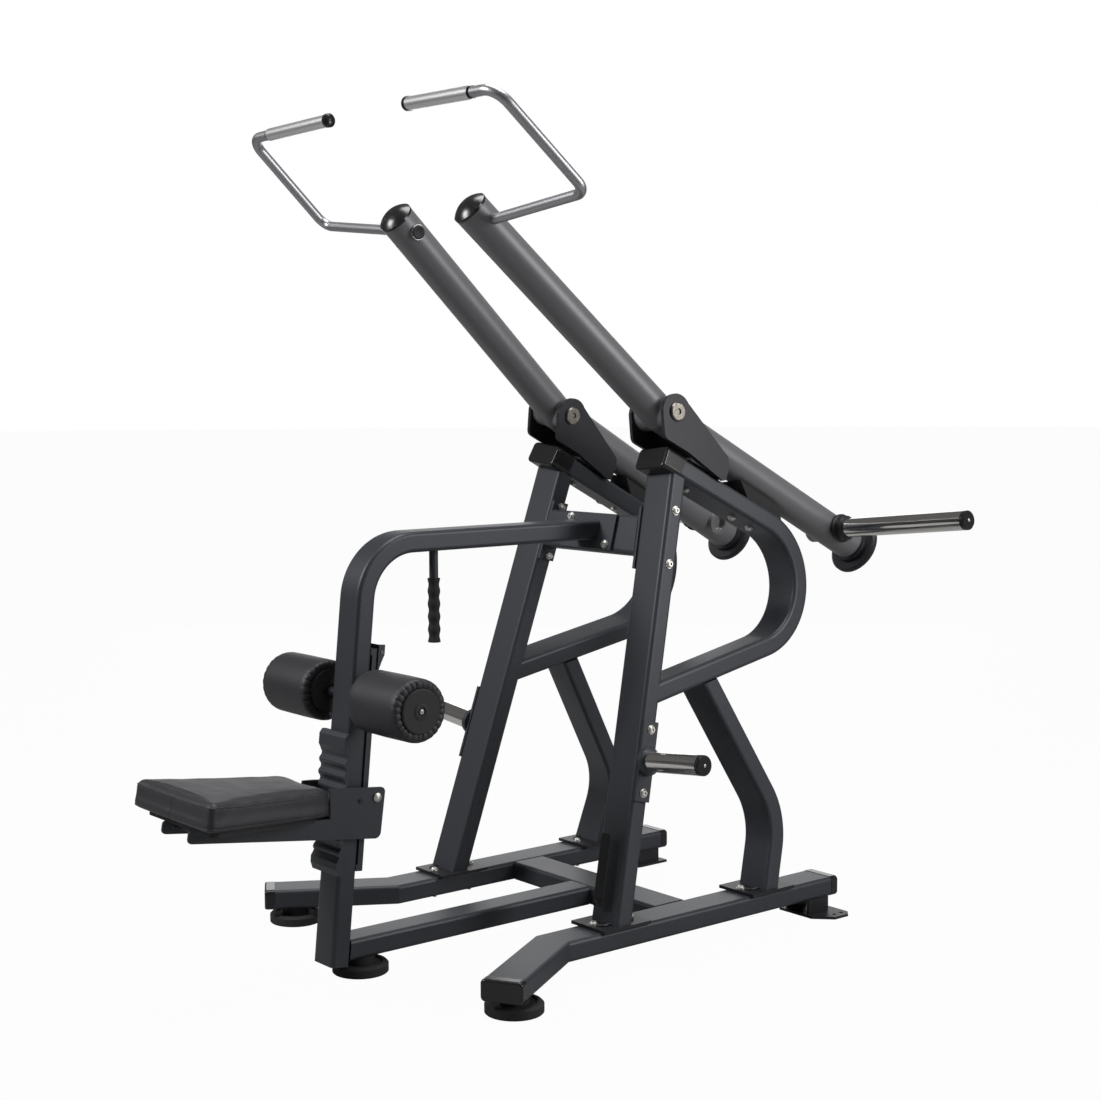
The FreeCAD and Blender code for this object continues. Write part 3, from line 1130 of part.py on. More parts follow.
# ================================================================== BOLTS OF THE FRAME
def frame_bolts():
    """Every visible bolt and nut of one side, in the drawing's own frame."""
    pieces = []
    for seat in bar_seats:
        pieces.append(placed(bolt_shape(2 * HALF_WIDE + 26), SIDE * seat))
        inner = SIDE * facing(seat.Base - outboard * (2 * HALF_WIDE + mm("plate_thick")), -outboard)
        pieces.append(placed(nut_shape(), inner))
    pieces += [placed(bolt_shape(24), SIDE * seat) for seat in peg_seats]
    pieces += [placed(bolt_shape(length), SIDE * seat)
               for seat, length in zip(under_seats, (mm("tube_deep") + 16, mm("tube_deep") + 14,
                                                     mm("tube_deep") + 12))]
    for spot in plate_spots:
        for end in (1, -1):
            seat = at(spot.x, spot.y + end * plate_bolt, RAIL_TOP + mm("plate_thick"))
            pieces.append(placed(bolt_shape(mm("tube_deep") + mm("plate_thick") + 14), seat))
            below = at(spot.x, spot.y + end * plate_bolt, mm("rail_bottom"), Rotation(Vector(1, 0, 0), 180))
            pieces.append(placed(nut_shape(), below))
    axle_end = Part.makeCylinder(9, 4, Vector(0, 0, axle_half))
    axle_end = axle_end.cut(Part.makeCylinder(4, 3, Vector(0, 0, axle_half + 2)))
    pieces.append(placed(axle_end, axle_seat))
    return Part.makeCompound(pieces)


side_bolts = solid("side_bolts", frame_bolts())
flange_set = solid("flange_bolts", Part.makeCompound([placed(bolt_shape(30), p) for p in flange_seats]))
keep("frame_bolts", group("frame_bolts", side_bolts, mirrored("side_bolts_left", side_bolts), flange_set))

# ------------------------------------------------------------------ check and write
doc.recompute()
faults = [o.Label for o in doc.Objects if "Invalid" in o.State or "Error" in o.State]
for node, sub_part in nodes.items():
    shape = sub_part.Shape
    if shape.isNull() or not shape.Solids or not shape.isValid():
        faults.append(node + " has no valid solid")
if faults:
    raise RuntimeError("failed: " + ", ".join(faults))

os.makedirs("parts", exist_ok=True)
for node, sub_part in nodes.items():
    sub_part.Shape.exportStep(f"parts/{node}.step")
print(len(nodes), "parts written")
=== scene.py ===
"""Looks of a plate-loaded lat pulldown machine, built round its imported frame."""

import json
import math

import bmesh
import bpy
from bpy.props import FloatProperty, FloatVectorProperty, IntProperty, PointerProperty
from mathutils import Matrix, Vector, noise


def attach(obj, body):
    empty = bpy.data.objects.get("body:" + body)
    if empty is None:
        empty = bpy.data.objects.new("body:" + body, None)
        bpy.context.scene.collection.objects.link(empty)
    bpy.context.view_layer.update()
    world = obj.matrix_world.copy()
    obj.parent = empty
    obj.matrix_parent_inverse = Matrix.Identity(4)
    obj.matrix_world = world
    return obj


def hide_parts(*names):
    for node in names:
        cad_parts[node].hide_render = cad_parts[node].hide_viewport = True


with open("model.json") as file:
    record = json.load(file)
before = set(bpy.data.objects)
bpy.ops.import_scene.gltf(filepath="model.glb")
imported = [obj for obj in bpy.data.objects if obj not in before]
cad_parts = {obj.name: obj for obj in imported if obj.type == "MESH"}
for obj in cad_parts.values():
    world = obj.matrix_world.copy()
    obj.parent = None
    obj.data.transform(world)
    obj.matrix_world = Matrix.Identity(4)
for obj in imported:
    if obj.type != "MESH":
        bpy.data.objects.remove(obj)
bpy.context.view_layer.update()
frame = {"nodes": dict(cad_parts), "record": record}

bl_info = {
    "name": "Lat Pulldown Finish",
    "version": (1, 0, 0),
    "blender": (4, 5, 0),
    "location": "View3D > Sidebar > Lat Pulldown",
    "description": "Upholstery, welds, fasteners, finishes and studio for the lat pulldown machine",
    "category": "Object",
}

SIDES = (("right", 1), ("left", -1))


def colour(name, description, default):
    """A linear colour that a user may change."""
    return FloatVectorProperty(name=name, description=description, subtype="COLOR", size=3,
                               min=0.0, max=1.0, default=default)


def length(name, description, default):
    """A length in metres."""
    return FloatProperty(name=name, description=description, subtype="DISTANCE", unit="LENGTH",
                         min=0.0, precision=4, default=default)


class FinishColours(bpy.types.PropertyGroup):
    """Colours of the machine's finishes."""

    frame_paint: colour("Frame powder coat", "Charcoal of the welded frame", (0.0034, 0.0034, 0.0038))
    arm_paint: colour("Arm lacquer", "Gunmetal of the lever arms", (0.31, 0.295, 0.285))
    black_paint: colour("Bracket paint", "Black of the brackets and feet", (0.0032, 0.0032, 0.0036))
    handle_steel: colour("Handle tube", "Lacquered steel of the handles", (0.42, 0.41, 0.41))
    grip_aluminium: colour("Grip sleeve", "Knurled aluminium", (0.92, 0.92, 0.93))
    chrome: colour("Chrome", "Plating of horns and pegs", (0.92, 0.81, 0.66))
    bolt_steel: colour("Bolts", "Bright zinc of the fasteners", (0.60, 0.58, 0.54))
    gloss_black_plastic: colour("Moulded caps", "Polished black caps", (0.004, 0.004, 0.0045))
    matte_black_plastic: colour("Plain plastic", "Bushes, cores and glides", (0.006, 0.006, 0.006))
    black_rubber: colour("Rubber", "Feet, stops and hanging grip", (0.007, 0.007, 0.007))
    black_vinyl: colour("Vinyl", "Upholstery of seat and rollers", (0.0045, 0.0045, 0.005))
    floor: colour("Floor", "Pale studio floor", (0.34, 0.34, 0.34))


class PadSizes(bpy.types.PropertyGroup):
    """Sizes of the upholstered pieces."""

    seat_inset: length("Seat inset", "Cover drawn in before the foam fills it", 0.004)
    voxel: length("Cover mesh", "Mesh size of the seat cover", 0.0055)
    most_swell: length("Most swell", "Furthest a point of the cover may move", 0.006)
    piping: length("Piping radius", "Half the welt's thickness", 0.0019)
    pleats: IntProperty(name="Pleats", description="Gathers round each roller end",
                        default=26, min=6, max=60)
    pleat_depth: length("Pleat depth", "Depth of the gathers at the end disc", 0.0042)
    roller_radius: length("Roller radius", "Vinyl outside", 0.074)


class WeldSizes(bpy.types.PropertyGroup):
    """Sizes of the weld beads."""

    bead: length("Bead radius", "Half the width of a weld bead", 0.0028)
    ripple: length("Ripple pitch", "Distance between two ripples", 0.0042)


# ---------------------------------------------------------------- places on the frame
LEAN, POST_LEAN, UPRIGHT_LEAN = math.radians(6), math.radians(5.72), math.radians(14.76)
SEAT_PLANE_Y = 0.693
SIDE = Matrix.Translation((0.333, SEAT_PLANE_Y, 0.094)) @ Matrix.Rotation(-LEAN, 4, "Y")
UPRIGHT_Y, LEG_Y, PLATE_TOP = -0.183, 0.3265, 0.0085
TUBE_WIDE, TUBE_DEEP = 0.050, 0.100
MIRROR = Matrix.Scale(-1, 4, (1, 0, 0))


def facing(origin, direction, up=Vector((0, 0, 1))):
    """Matrix at origin whose local Z runs along direction."""
    z = Vector(direction).normalized()
    x = up.cross(z) if abs(up.dot(z)) < 0.99 else Vector((1, 0, 0)).cross(z)
    x.normalize()
    matrix = Matrix((x, z.cross(x), z)).transposed().to_4x4()
    matrix.translation = Vector(origin)
    return matrix


# ---------------------------------------------------------------- mesh work
def new_piece(name, mesh_bm, finish, body):
    """Turn a bmesh into a shown piece with a finish that rides on a body."""
    bmesh.ops.recalc_face_normals(mesh_bm, faces=mesh_bm.faces)
    mesh = bpy.data.meshes.new(name)
    mesh_bm.to_mesh(mesh)
    mesh_bm.free()
    piece = bpy.data.objects.new(name, mesh)
    bpy.context.scene.collection.objects.link(piece)
    mesh.shade_smooth()
    mesh.set_sharp_from_angle(angle=math.radians(38))
    mesh.materials.append(bpy.data.materials[finish])
    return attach(piece, body)


def bridge(mesh_bm, rings):
    """Faces from each ring of points to the next."""
    for low, high in zip(rings, rings[1:]):
        for k in range(len(low)):
            following = (k + 1) % len(low)
            mesh_bm.faces.new((low[k], low[following], high[following], high[k]))


def lathe(mesh_bm, profile, matrix, steps=48, wobble=None):
    """Revolve a list of (radius, height) about local Z; wobble(angle, i) moves a point outward."""
    rings = []
    for i, (radius, height) in enumerate(profile):
        if radius < 1e-6:
            rings.append([mesh_bm.verts.new(matrix @ Vector((0, 0, height)))])
            continue
        ring = []
        for k in range(steps):
            angle = 2 * math.pi * k / steps
            out, along = wobble(angle, i) if wobble else (0, 0)
            reach = radius + out
            spot = Vector((reach * math.cos(angle), reach * math.sin(angle), height + along))
            ring.append(mesh_bm.verts.new(matrix @ spot))
        rings.append(ring)
    for low, high in zip(rings, rings[1:]):
        for k in range(max(len(low), len(high))):
            corners = [low[k % len(low)], low[(k + 1) % len(low)],
                       high[(k + 1) % len(high)], high[k % len(high)]]
            corners = [c for n, c in enumerate(corners) if c not in corners[:n]]
            mesh_bm.faces.new(corners)


def tube(mesh_bm, route, radius_at, closed=True, sides=10):
    """Sweep a round section along a route; radius_at(distance) gives its radius there."""
    count, travelled, rings = len(route), 0.0, []
    for i, point in enumerate(route):
        before = route[(i - 1) % count] if closed or i else point
        after = route[(i + 1) % count] if closed or i < count - 1 else point
        ahead = facing(point, after - before, Vector((0.013, 0.02, 1)))
        if i:
            travelled += (point - route[i - 1]).length
        radius = radius_at(travelled)
        rings.append([mesh_bm.verts.new(ahead @ Vector((radius * math.cos(a), radius * math.sin(a), 0)))
                      for a in (2 * math.pi * k / sides for k in range(sides))])
    bridge(mesh_bm, rings + rings[:1] if closed else rings)
    if not closed:
        mesh_bm.faces.new(rings[0][::-1])
        mesh_bm.faces.new(rings[-1])


def rounded_outline(corners, radii, step=0.006):
    """Closed outline through rounded corners, as points in the local XY plane."""
    points, count = [], len(corners)
    for i, corner in enumerate(corners):
        corner = Vector(corner)
        to_last = (Vector(corners[i - 1]) - corner).normalized()
        to_next = (Vector(corners[(i + 1) % count]) - corner).normalized()
        half = to_last.angle(to_next) / 2
        set_back = radii[i] / math.tan(half)
        start, end = corner + to_last * set_back, corner + to_next * set_back
        centre = corner + (to_last + to_next).normalized() * (radii[i] / math.sin(half))
        if points:
            last = points[-1]
            steps = max(1, int((start - last).length / step))
            points += [last.lerp(start, k / steps) for k in range(1, steps)]
        steps = max(3, int(radii[i] * (math.pi - 2 * half) / step))
        for k in range(steps + 1):
            spoke = (start - centre).lerp(end - centre, k / steps).normalized() * radii[i]
            points.append(centre + spoke)
    last, first = points[-1], points[0]
    steps = max(1, int((first - last).length / step))
    return points + [last.lerp(first, k / steps) for k in range(1, steps)]


def box_outline(wide, deep, radius):
    """Corners and radii of a rounded rectangle."""
    x, y = wide / 2, deep / 2
    return [(x, y), (-x, y), (-x, -y), (x, -y)], [radius] * 4


# ---------------------------------------------------------------- finishes
class Finish:
    """A Principled material that is put together from named steps."""

    def __init__(self, name, tint, metallic, roughness, **more):
        self.material = bpy.data.materials.new(name)
        self.material.use_nodes = True
        self.tree = self.material.node_tree
        self.shader = self.tree.nodes["Principled BSDF"]
        self.set_constants(tint, metallic, roughness, more)
        self.coords = self.tree.nodes.new("ShaderNodeTexCoord").outputs["Object"]
        self.height = None

    def set_constants(self, tint, metallic, roughness, more):
        """Values that are the same all over the surface sit on the shader itself."""
        self.tint = tuple(tint) + (1.0,)
        self.shader.inputs["Base Color"].default_value = self.tint
        self.shader.inputs["Metallic"].default_value = metallic
        self.shader.inputs["Roughness"].default_value = roughness
        for socket, value in more.items():
            self.shader.inputs[socket.replace("_", " ").title().replace("Ior", "IOR")].default_value = value

    def mapped(self, stretch=(1, 1, 1), turn=(0, 0, 0)):
        """Object coordinates, turned and then stretched."""
        turned = self.tree.nodes.new("ShaderNodeVectorRotate")
        turned.rotation_type = "EULER_XYZ"
        turned.inputs["Rotation"].default_value = [math.radians(a) for a in turn]
        self.tree.links.new(self.coords, turned.inputs["Vector"])
        scaled = self.tree.nodes.new("ShaderNodeVectorMath")
        scaled.operation = "MULTIPLY"
        scaled.inputs[1].default_value = stretch
        self.tree.links.new(turned.outputs["Vector"], scaled.inputs[0])
        return scaled.outputs["Vector"]

    def cloud(self, scale, detail=3.0, stretch=(1, 1, 1), turn=(0, 0, 0)):
        """Noise, in lumps per metre."""
        node = self.tree.nodes.new("ShaderNodeTexNoise")
        node.inputs["Scale"].default_value = scale
        node.inputs["Detail"].default_value = detail
        self.tree.links.new(self.mapped(stretch, turn), node.inputs["Vector"])
        return node.outputs["Fac"]

    def cells(self, scale, feature="SMOOTH_F1"):
        """Cell pattern, in cells per metre."""
        node = self.tree.nodes.new("ShaderNodeTexVoronoi")
        node.feature = feature
        node.inputs["Scale"].default_value = scale
        self.tree.links.new(self.coords, node.inputs["Vector"])
        return node.outputs["Distance"]

    def ridges(self, scale, turn):
        """Fine straight ridges."""
        node = self.tree.nodes.new("ShaderNodeTexWave")
        node.inputs["Scale"].default_value = scale
        node.inputs["Distortion"].default_value = 0.0
        self.tree.links.new(self.mapped(turn=turn), node.inputs["Vector"])
        return node.outputs["Fac"]

    def spread(self, fac, low, high, from_low=0.3, from_high=0.7):
        """Map a pattern's range onto low..high."""
        node = self.tree.nodes.new("ShaderNodeMapRange")
        ends = {"From Min": from_low, "From Max": from_high, "To Min": low, "To Max": high}
        for socket, value in ends.items():
            node.inputs[socket].default_value = value
        self.tree.links.new(fac, node.inputs["Value"])
        return node.outputs["Result"]

    def mix_colour(self, fac, other):
        """Blend the present base colour towards another where the pattern is high."""
        node = self.tree.nodes.new("ShaderNodeMix")
        node.data_type = "RGBA"
        base = self.shader.inputs["Base Color"]
        if base.is_linked:
            self.tree.links.new(base.links[0].from_socket, node.inputs["A"])
        else:
            node.inputs["A"].default_value = self.tint
        node.inputs["B"].default_value = tuple(other) + (1.0,)
        self.tree.links.new(fac, node.inputs["Factor"])
        self.tree.links.new(node.outputs["Result"], base)

    def rough(self, fac, low, high):
        """Vary the roughness with a pattern."""
        self.tree.links.new(self.spread(fac, low, high), self.shader.inputs["Roughness"])

    def raise_by(self, fac, strength, distance):
        """Add a pattern to the surface relief."""
        node = self.tree.nodes.new("ShaderNodeBump")
        node.inputs["Strength"].default_value = strength
        node.inputs["Distance"].default_value = distance
        self.tree.links.new(fac, node.inputs["Height"])
        if self.height:
            self.tree.links.new(self.height, node.inputs["Normal"])
        self.height = node.outputs["Normal"]
        self.tree.links.new(self.height, self.shader.inputs["Normal"])

    def soften_edges(self, radius):
        """Let light catch on the corners as on a rounded edge."""
        node = self.tree.nodes.new("ShaderNodeBevel")
        node.samples = 4
        node.inputs["Radius"].default_value = radius
        self.height = node.outputs["Normal"]
        self.tree.links.new(self.height, self.shader.inputs["Normal"])

    def paint_edge_highlight(self, radius, highlight_tint, amount):
        """Painted highlight: blend towards a lighter colour along sharp edges, broken up by noise."""
        bevel = self.tree.nodes.new("ShaderNodeBevel")
        bevel.samples = 4
        bevel.inputs["Radius"].default_value = radius
        geometry = self.tree.nodes.new("ShaderNodeNewGeometry")
        dot = self.tree.nodes.new("ShaderNodeVectorMath")
        dot.operation = "DOT_PRODUCT"
        self.tree.links.new(bevel.outputs["Normal"], dot.inputs[0])
        self.tree.links.new(geometry.outputs["Normal"], dot.inputs[1])
        edge = self.spread(dot.outputs["Value"], amount, 0.0, 0.90, 0.995)
        broken = self.tree.nodes.new("ShaderNodeMath")
        broken.operation = "MULTIPLY"
        broken.use_clamp = True
        self.tree.links.new(edge, broken.inputs[0])
        self.tree.links.new(self.spread(self.cloud(60), 0.2, 1.0), broken.inputs[1])
        self.mix_colour(broken.outputs["Value"], highlight_tint)


ARM_TURN = (-35, 0, 0)


def frame_paint(tint):
    """Charcoal powder coat with a fine metallic fleck."""
    coat = Finish("frame_paint", tint, 0.0, 0.32, specular_ior_level=0.23)
    coat.soften_edges(0.0012)
    coat.mix_colour(coat.spread(coat.cloud(5, 4), 0, 0.35), [c * 1.5 for c in tint])
    coat.mix_colour(coat.spread(coat.cells(1500, "F1"), 0.6, 0, 0.05, 0.3), [c * 4 for c in tint])
    # painted highlight: lighter charcoal along the frame's sharp edges
    coat.paint_edge_highlight(0.0018, [c * 3.5 for c in tint], 0.45)
    coat.rough(coat.cloud(14, 5), 0.26, 0.36)
    coat.raise_by(coat.cloud(1100, 2), 0.16, 0.0002)


def black_paint(tint):
    """Satin black powder coat of brackets and plates."""
    coat = Finish("black_paint", tint, 0.0, 0.38, specular_ior_level=0.20)
    coat.soften_edges(0.0012)
    coat.mix_colour(coat.spread(coat.cloud(8, 4), 0, 0.4), [c * 1.8 for c in tint])
    # painted highlight: lighter black along the brackets' sharp edges
    coat.paint_edge_highlight(0.0016, [c * 5 for c in tint], 0.5)
    coat.rough(coat.cloud(18, 5), 0.30, 0.42)
    coat.raise_by(coat.cloud(900, 2), 0.18, 0.0002)


def arm_paint(tint):
    """Clear gunmetal lacquer over a tube brushed along its length."""
    coat = Finish("arm_paint", tint, 1.0, 0.30, coat_weight=0.08, coat_roughness=0.2)
    brushed = coat.cloud(420, 3, (1, 0.012, 1), ARM_TURN)
    coat.mix_colour(coat.spread(brushed, 0, 0.55), [c * 1.6 for c in tint])
    coat.mix_colour(coat.spread(coat.cloud(4, 3), 0, 0.35), [c * 0.72 for c in tint])
    coat.rough(brushed, 0.25, 0.38)
    coat.raise_by(brushed, 0.10, 0.0002)


def handle_steel(tint):
    """Lacquered steel tube, drawn lengthwise."""
    steel = Finish("handle_steel", tint, 1.0, 0.36)
    steel.mix_colour(steel.spread(steel.cloud(35, 4), 0, 0.4), [c * 0.7 for c in tint])
    steel.rough(steel.cloud(90, 4), 0.32, 0.42)


def grip_aluminium(tint):
    """Aluminium sleeve with a fine crossed knurl."""
    metal = Finish("grip_aluminium", tint, 0.10, 0.50)
    metal.soften_edges(0.0008)
    metal.mix_colour(metal.spread(metal.cloud(50, 4), 0, 0.25), [c * 0.85 for c in tint])
    metal.raise_by(metal.ridges(130, (0, 0, 40)), 0.12, 0.0002)
    metal.raise_by(metal.ridges(130, (0, 0, -40)), 0.12, 0.0002)
    metal.rough(metal.cloud(120, 4), 0.44, 0.58)


def chrome(tint):
    """Polished plating with faint scuffs where plates slide on."""
    plate = Finish("chrome", tint, 1.0, 0.1)
    scuffs = plate.cloud(260, 4, (1, 0.35, 0.35))
    plate.mix_colour(plate.spread(plate.cloud(30, 3), 0, 0.25), [c * 0.78 for c in tint])
    plate.rough(scuffs, 0.05, 0.20)
    plate.raise_by(scuffs, 0.03, 0.0001)


def pivot_bronze(tint):
    """Dull, brownish plating of the big pivot caps."""
    plate = Finish(PIVOT_CAP_FINISH, [tint[0] * 0.42, tint[1] * 0.40, tint[2] * 0.38], 1.0, 0.36)
    plate.soften_edges(0.0008)
    plate.mix_colour(plate.spread(plate.cloud(120, 4), 0, 0.6), [c * 0.16 for c in tint])
    plate.rough(plate.cloud(200, 3), 0.28, 0.46)
    plate.raise_by(plate.cloud(500, 2), 0.12, 0.0002)


def bolt_steel(tint):
    """Bright zinc with handling marks."""
    zinc = Finish("bolt_steel", tint, 1.0, 0.28)
    zinc.soften_edges(0.0006)
    zinc.mix_colour(zinc.spread(zinc.cloud(160, 3), 0, 0.5), [c * 0.55 for c in tint])
    zinc.rough(zinc.cloud(240, 3), 0.18, 0.38)
    zinc.raise_by(zinc.cloud(500, 2), 0.12, 0.0002)


def gloss_black_plastic(tint):
    """Moulded cap with a slightly wavy polished skin."""
    skin = Finish("gloss_black_plastic", tint, 0.0, 0.14, specular_ior_level=0.55)
    skin.soften_edges(0.0009)
    skin.mix_colour(skin.spread(skin.cloud(40, 3), 0, 0.5), [c * 2.2 for c in tint])
    skin.rough(skin.cloud(70, 4), 0.09, 0.24)
    skin.raise_by(skin.cloud(130, 2), 0.05, 0.0006)


def matte_black_plastic(tint):
    """Moulded plastic with a fine spark texture."""
    skin = Finish("matte_black_plastic", tint, 0.0, 0.5, specular_ior_level=0.3)
    skin.soften_edges(0.0009)
    skin.mix_colour(skin.spread(skin.cloud(60, 3), 0, 0.5), [c * 1.9 for c in tint])
    skin.rough(skin.cloud(200, 4), 0.40, 0.56)
    skin.raise_by(skin.cloud(1400, 2), 0.25, 0.0002)


def black_rubber(tint):
    """Moulded rubber with a dusty bloom."""
    skin = Finish("black_rubber", tint, 0.0, 0.58, specular_ior_level=0.3)
    skin.soften_edges(0.001)
    skin.mix_colour(skin.spread(skin.cloud(25, 5), 0, 0.6), [c * 2.4 for c in tint])
    skin.rough(skin.cloud(80, 4), 0.52, 0.72)
    skin.raise_by(skin.cloud(700, 3), 0.3, 0.0003)


def black_vinyl(tint):
    """Upholstery vinyl: pebbled grain, faint creases and a soft sheen."""
    skin = Finish("black_vinyl", tint, 0.0, 0.26, specular_ior_level=0.42,
                  coat_weight=0.15, coat_roughness=0.22)
    pebble = skin.cells(720)
    crease = skin.cloud(24, 6, (1, 1.6, 1))
    skin.mix_colour(skin.spread(crease, 0, 0.45), [c * 2.3 for c in tint])
    skin.rough(skin.cloud(45, 5), 0.22, 0.34)
    skin.raise_by(pebble, 0.38, 0.0005)
    skin.raise_by(crease, 0.16, 0.0030)


FINISHES = (frame_paint, black_paint, arm_paint, handle_steel, grip_aluminium, chrome, bolt_steel,
            gloss_black_plastic, matte_black_plastic, black_rubber, black_vinyl)
PIVOT_CAP_FINISH = "pivot_bronze"
SHOWN_AS = {"pivot_pins": PIVOT_CAP_FINISH, "roller_axle": "black_paint"}


class LATPULL_OT_finishes(bpy.types.Operator):
    """Make every finish and put it on the frame's pieces"""

    bl_idname = "latpull.finishes"
    bl_label = "Paint and Plating"

    def execute(self, context):
        colours = context.scene.latpull_colours
        for make in FINISHES:
            make(list(getattr(colours, make.__name__)))
        pivot_bronze(list(colours.bolt_steel))
        for part in frame["record"]["subparts"]:
            piece = frame["nodes"][part["node"]]
            piece.data.materials.clear()
            shown = SHOWN_AS.get(part["node"], part["material_slot"])
            piece.data.materials.append(bpy.data.materials[shown])
        return {"FINISHED"}


# ---------------------------------------------------------------- seat
PAD_RISE, PAD_DEEP = 0.030, 0.370
PAD_SLOPE = math.atan2(PAD_RISE, PAD_DEEP)
PAD = Matrix.Translation((0, SEAT_PLANE_Y - 0.825, 0.481)) @ Matrix.Rotation(-PAD_SLOPE, 4, "X")
PAD_LONG, PAD_THICK = PAD_DEEP / math.cos(PAD_SLOPE), 0.067
PAD_FRONT, PAD_BACK = 0.188, 0.113  # half widths
FRONT_CORNER, BACK_CORNER = 0.022, 0.038
WELT = 0.0066  # from the pad's top and bottom to the welts
FOAM_PRESSURE, FILL_FRAMES = 4.0, 20
CROWN = 0.0035


def pad_outline(inset, step=0.006):
    """The pad's rounded trapezoid, each point drawn in by inset square to the edge."""
    corners = [(PAD_BACK, 0), (-PAD_BACK, 0), (-PAD_FRONT, -PAD_LONG), (PAD_FRONT, -PAD_LONG)]
    edge = rounded_outline(corners, [BACK_CORNER, BACK_CORNER, FRONT_CORNER, FRONT_CORNER], step)
    inner = []
    for last, point, following in zip(edge[-1:] + edge[:-1], edge, edge[1:] + edge[:1]):
        along = (following - last).normalized()
        inner.append(point + Vector((-along.y, along.x)) * inset)
    return inner


class LATPULL_OT_seat_cushion(bpy.types.Operator):
    """Sew the seat cover, fill it with foam and lay the piping on it"""

    bl_idname = "latpull.seat_cushion"
    bl_label = "Seat Cushion"

    def execute(self, context):
        sizes = context.scene.latpull_pads
        cushion = self.sewn_cover(sizes)
        self.fill(context, cushion, sizes)
        self.pull_in_seams(cushion)
        refine = cushion.modifiers.new("Refine", "SUBSURF")
        refine.levels = refine.render_levels = 1
        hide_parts("seat_pad")
        self.piping(cushion, sizes)
        return {"FINISHED"}

    def sewn_cover(self, sizes):
        """A closed cover with soft edges, a little small for its space."""
        cover = bmesh.new()
        inset, top, low = sizes.seat_inset, -0.003, -PAD_THICK + 0.002
        layers = [(inset + 0.075, top + 0.0012), (inset + 0.030, top + 0.0008), (inset + 0.012, top),
                  (inset + 0.003, top - 0.0025), (inset, top - 0.009), (inset + 0.001, (top + low) / 2),
                  (inset, low + 0.012), (inset + 0.003, low + 0.004), (inset + 0.010, low),
                  (inset + 0.05, low)]
        rings = []
        middle = Vector((0, -PAD_LONG / 2))
        for drawn_in, z in layers:
            near = min(drawn_in, 0.018)
            shrink = 1 - (drawn_in - near) / 0.15
            rings.append([cover.verts.new(PAD @ Vector((*(middle + (p - middle) * shrink), z)))
                          for p in pad_outline(near)])
        bridge(cover, rings)
        cover.faces.new(rings[0])
        cover.faces.new(rings[-1][::-1])
        piece = new_piece("seat_cushion", cover, "black_vinyl", "seat_carriage")
        remesh = piece.modifiers.new("Even mesh", "REMESH")
        remesh.mode = "VOXEL"
        remesh.voxel_size = sizes.voxel
        with bpy.context.temp_override(object=piece, active_object=piece, selected_objects=[piece]):
            bpy.ops.object.modifier_apply(modifier=remesh.name)
        piece.data.shade_smooth()
        return piece

    def fill(self, context, piece, sizes):
        """Blow the cover up with cloth simulation, held at the board, and cap its swell."""
        mesh = piece.data
        before = [v.co.copy() for v in mesh.vertices]
        held = piece.vertex_groups.new(name="board")
        to_pad = PAD.inverted()
        held.add([i for i, co in enumerate(before) if (to_pad @ co).z < -PAD_THICK + 0.006], 1.0, "REPLACE")
        cloth = piece.modifiers.new("Foam", "CLOTH")
        cloth.settings.use_pressure = True
        cloth.settings.uniform_pressure_force = FOAM_PRESSURE
        cloth.settings.effector_weights.gravity = 0.0
        cloth.settings.tension_stiffness = cloth.settings.compression_stiffness = 25.0
        cloth.settings.bending_stiffness = 2.0
        cloth.settings.vertex_group_mass = held.name
        for number in range(1, FILL_FRAMES + 1):
            context.scene.frame_set(number)
        filled = piece.evaluated_get(context.evaluated_depsgraph_get())
        after = [v.co.copy() for v in filled.to_mesh().vertices]
        filled.to_mesh_clear()
        piece.modifiers.remove(cloth)
        piece.vertex_groups.clear()
        context.scene.frame_set(1)
        swell = [end - start for start, end in zip(before, after)]
        swell = [move.normalized() * min(move.length, sizes.most_swell) for move in swell]
        for vertex, start, moved in zip(mesh.vertices, before, self.evened(mesh, swell)):
            place = to_pad @ (start + moved)
            across = max(abs(place.x) / 0.15, abs(place.y + PAD_LONG / 2) / (PAD_LONG / 2))
            place.z = max(min(place.z, CROWN * (1 - min(across, 1) ** 3)), -PAD_THICK + 0.0005)
            vertex.co = PAD @ place
        mesh.update()

    def on_cover(self, cushion, point):
        """The nearest point of the cover, sunk by a little so that the cord is sewn in."""
        _, place, normal, _ = cushion.closest_point_on_mesh(point)
        return place - normal * 0.0003

    def evened(self, mesh, moves, rounds=14):
        """Even out the swell between neighbours, as the cover's stiffness does."""
        beside = [[] for _ in mesh.vertices]
        for edge in mesh.edges:
            first, second = edge.vertices
            beside[first].append(second)
            beside[second].append(first)
        for _ in range(rounds):
            moves = [(move + sum((moves[n] for n in near), Vector())) / (len(near) + 1)
                     for move, near in zip(moves, beside)]
        return moves

    def pull_in_seams(self, piece):
        """Draw the vinyl in along the top welt and down the front seam, and crumple its top a little."""
        to_pad = PAD.inverted()
        for vertex in piece.data.vertices:
            place = to_pad @ vertex.co
            front = math.exp(-((place.x / 0.0045) ** 2)) if abs(place.y + PAD_LONG) < 0.02 else 0.0
            if front and -PAD_THICK + 0.004 < place.z < -0.006:
                place.y += 0.0022 * front
            welt = math.exp(-(((place.z + WELT) / 0.004) ** 2))
            inward = Vector((place.x, (place.y + PAD_LONG / 2) * 0.9))
            if inward.length > 0.09:
                inward.normalize()
                place.x -= inward.x * 0.0009 * welt
                place.y -= inward.y * 0.0009 * welt
            crumple = noise.noise(place * 22) * 0.0009 + noise.noise(place * 60) * 0.0003
            if place.z > -0.02:
                place.z += crumple
            vertex.co = PAD @ place
        piece.data.update()

